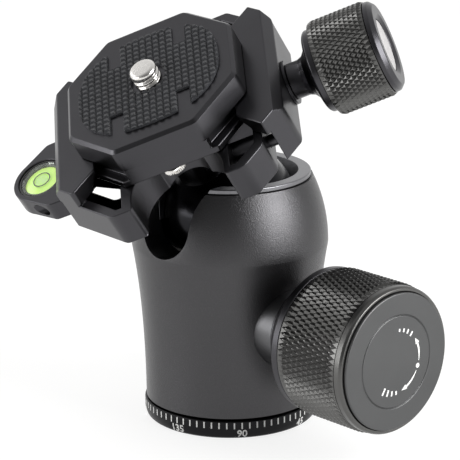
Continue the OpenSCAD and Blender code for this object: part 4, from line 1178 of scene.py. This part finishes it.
class BALLHEAD_OT_stage(bpy.types.Operator):
    """Sets the camera, the soft lamps and the plain pale floor"""

    bl_idname = "ballhead.stage"
    bl_label = "Stage"

    def execute(self, context):
        stage = settings("stage")
        scene = context.scene
        scene.view_settings.view_transform = "Standard"
        self.camera(scene, stage)
        self.floor(stage)
        self.world(scene, stage)
        for name, size, place in LAMPS:
            self.lamp(name, getattr(stage, name), size, place, Vector((0, 0, stage.target_z)))
        return {"FINISHED"}

    def camera(self, scene, stage):
        """Looks at the target from the front, pitched down and rolled."""
        upward = Vector((0, math.sin(stage.pitch), math.cos(stage.pitch)))
        ahead = Vector((0, math.cos(stage.pitch), -math.sin(stage.pitch)))
        right = math.cos(stage.roll) * Vector((1, 0, 0)) + math.sin(stage.roll) * upward
        above = ahead.cross(right) * -1
        made = bpy.data.cameras.new("camera")
        made.lens = stage.lens
        made.sensor_width = 36.0
        made.shift_x, made.shift_y = (shift / FRAME_WIDTH for shift in LENS_SHIFT)
        made.clip_start = 10 * MM
        held = in_scene("camera", made)
        place = Vector((stage.target_x, 0, stage.target_z)) - ahead * stage.distance
        turn = Matrix((right, above, -ahead)).transposed().to_4x4()
        held.matrix_world = Matrix.Translation(place) @ turn
        scene.camera = held

    def floor(self, stage):
        """A wide plane that looks white to the camera and in reflections, and keeps the object's shadow."""
        half = 6.0
        mesh = bpy.data.meshes.new("floor")
        corners = [(-half, -half, 0), (half, -half, 0), (half, half, 0), (-half, half, 0)]
        mesh.from_pydata(corners, [], [(0, 1, 2, 3)])
        pale, seen_pale = (0.8, 0.8, 0.8, 1), (0.24, 0.24, 0.235, 1)
        graph = material("stage_floor", pale, 0.0, 0.9)
        seen = graph.ray("Is Camera Ray", "Is Glossy Ray", "Is Transmission Ray")
        graph.set(Base_Color=graph.blend(seen, pale, seen_pale), Emission_Color=(1, 1, 1, 1),
                  Emission_Strength=seen * stage.floor_glow)
        mesh.materials.append(graph.owner)
        in_scene("floor", mesh)

    def world(self, scene, stage):
        """Soft light, brighter from behind than from the front; the camera and glass see it white."""
        studio = bpy.data.worlds.new("studio")
        studio.use_nodes = True
        graph = Graph(studio)
        behind = graph.node("ShaderNodeTexCoord", output="Generated").dot((0, 1, 0))
        light = behind * ((stage.sky_back - stage.sky_front) / 2) + (stage.sky_back + stage.sky_front) / 2
        seen = graph.ray("Is Camera Ray", "Is Transmission Ray")
        graph.set(Color=(1, 1, 1, 1), Strength=light + seen * (1 - light))
        scene.world = studio

    def lamp(self, name, power, size, place, target):
        """A square lamp that faces the target."""
        made = bpy.data.lights.new(name, "AREA")
        made.energy = power
        made.size = size
        held = in_scene(name, made)
        held.location = place
        held.rotation_euler = (target - Vector(place)).to_track_quat("-Z", "Y").to_euler()


class BALLHEAD_PT_panel(bpy.types.Panel):
    """Shows the settings, and a button for each step in the order in which the steps run"""

    bl_label = "Ball head"
    bl_idname = "BALLHEAD_PT_panel"
    bl_space_type = "VIEW_3D"
    bl_region_type = "UI"
    bl_category = "Ball head"

    def draw(self, context):
        for group in GROUPS:
            box = self.layout.box()
            held = getattr(context.scene, "ballhead_" + group)
            for name in held.bl_rna.properties.keys():
                if name not in ("rna_type", "name"):
                    box.prop(held, name)
        for operator in OPERATORS:
            self.layout.operator(operator.bl_idname)


GROUPS = {"finish": BallheadFinish, "knurls": BallheadKnurls, "marks": BallheadMarks,
          "plate": BallheadPlate, "stage": BallheadStage}
OPERATORS = (BALLHEAD_OT_stage, BALLHEAD_OT_finishes, BALLHEAD_OT_edges, BALLHEAD_OT_plate,
             BALLHEAD_OT_grips, BALLHEAD_OT_degrees, BALLHEAD_OT_arrows, BALLHEAD_OT_pad, BALLHEAD_OT_screws,
             BALLHEAD_OT_level)


def register():
    for group, kind in GROUPS.items():
        bpy.utils.register_class(kind)
        setattr(bpy.types.Scene, "ballhead_" + group, bpy.props.PointerProperty(type=kind))
    for kind in OPERATORS + (BALLHEAD_PT_panel,):
        bpy.utils.register_class(kind)


def unregister():
    for kind in reversed(OPERATORS + (BALLHEAD_PT_panel,)):
        bpy.utils.unregister_class(kind)
    for group, kind in GROUPS.items():
        delattr(bpy.types.Scene, "ballhead_" + group)
        bpy.utils.unregister_class(kind)


def main():
    register()
    for operator in OPERATORS:
        family, name = operator.bl_idname.split(".")
        getattr(getattr(bpy.ops, family), name)()


if __name__ == "__main__":
    main()
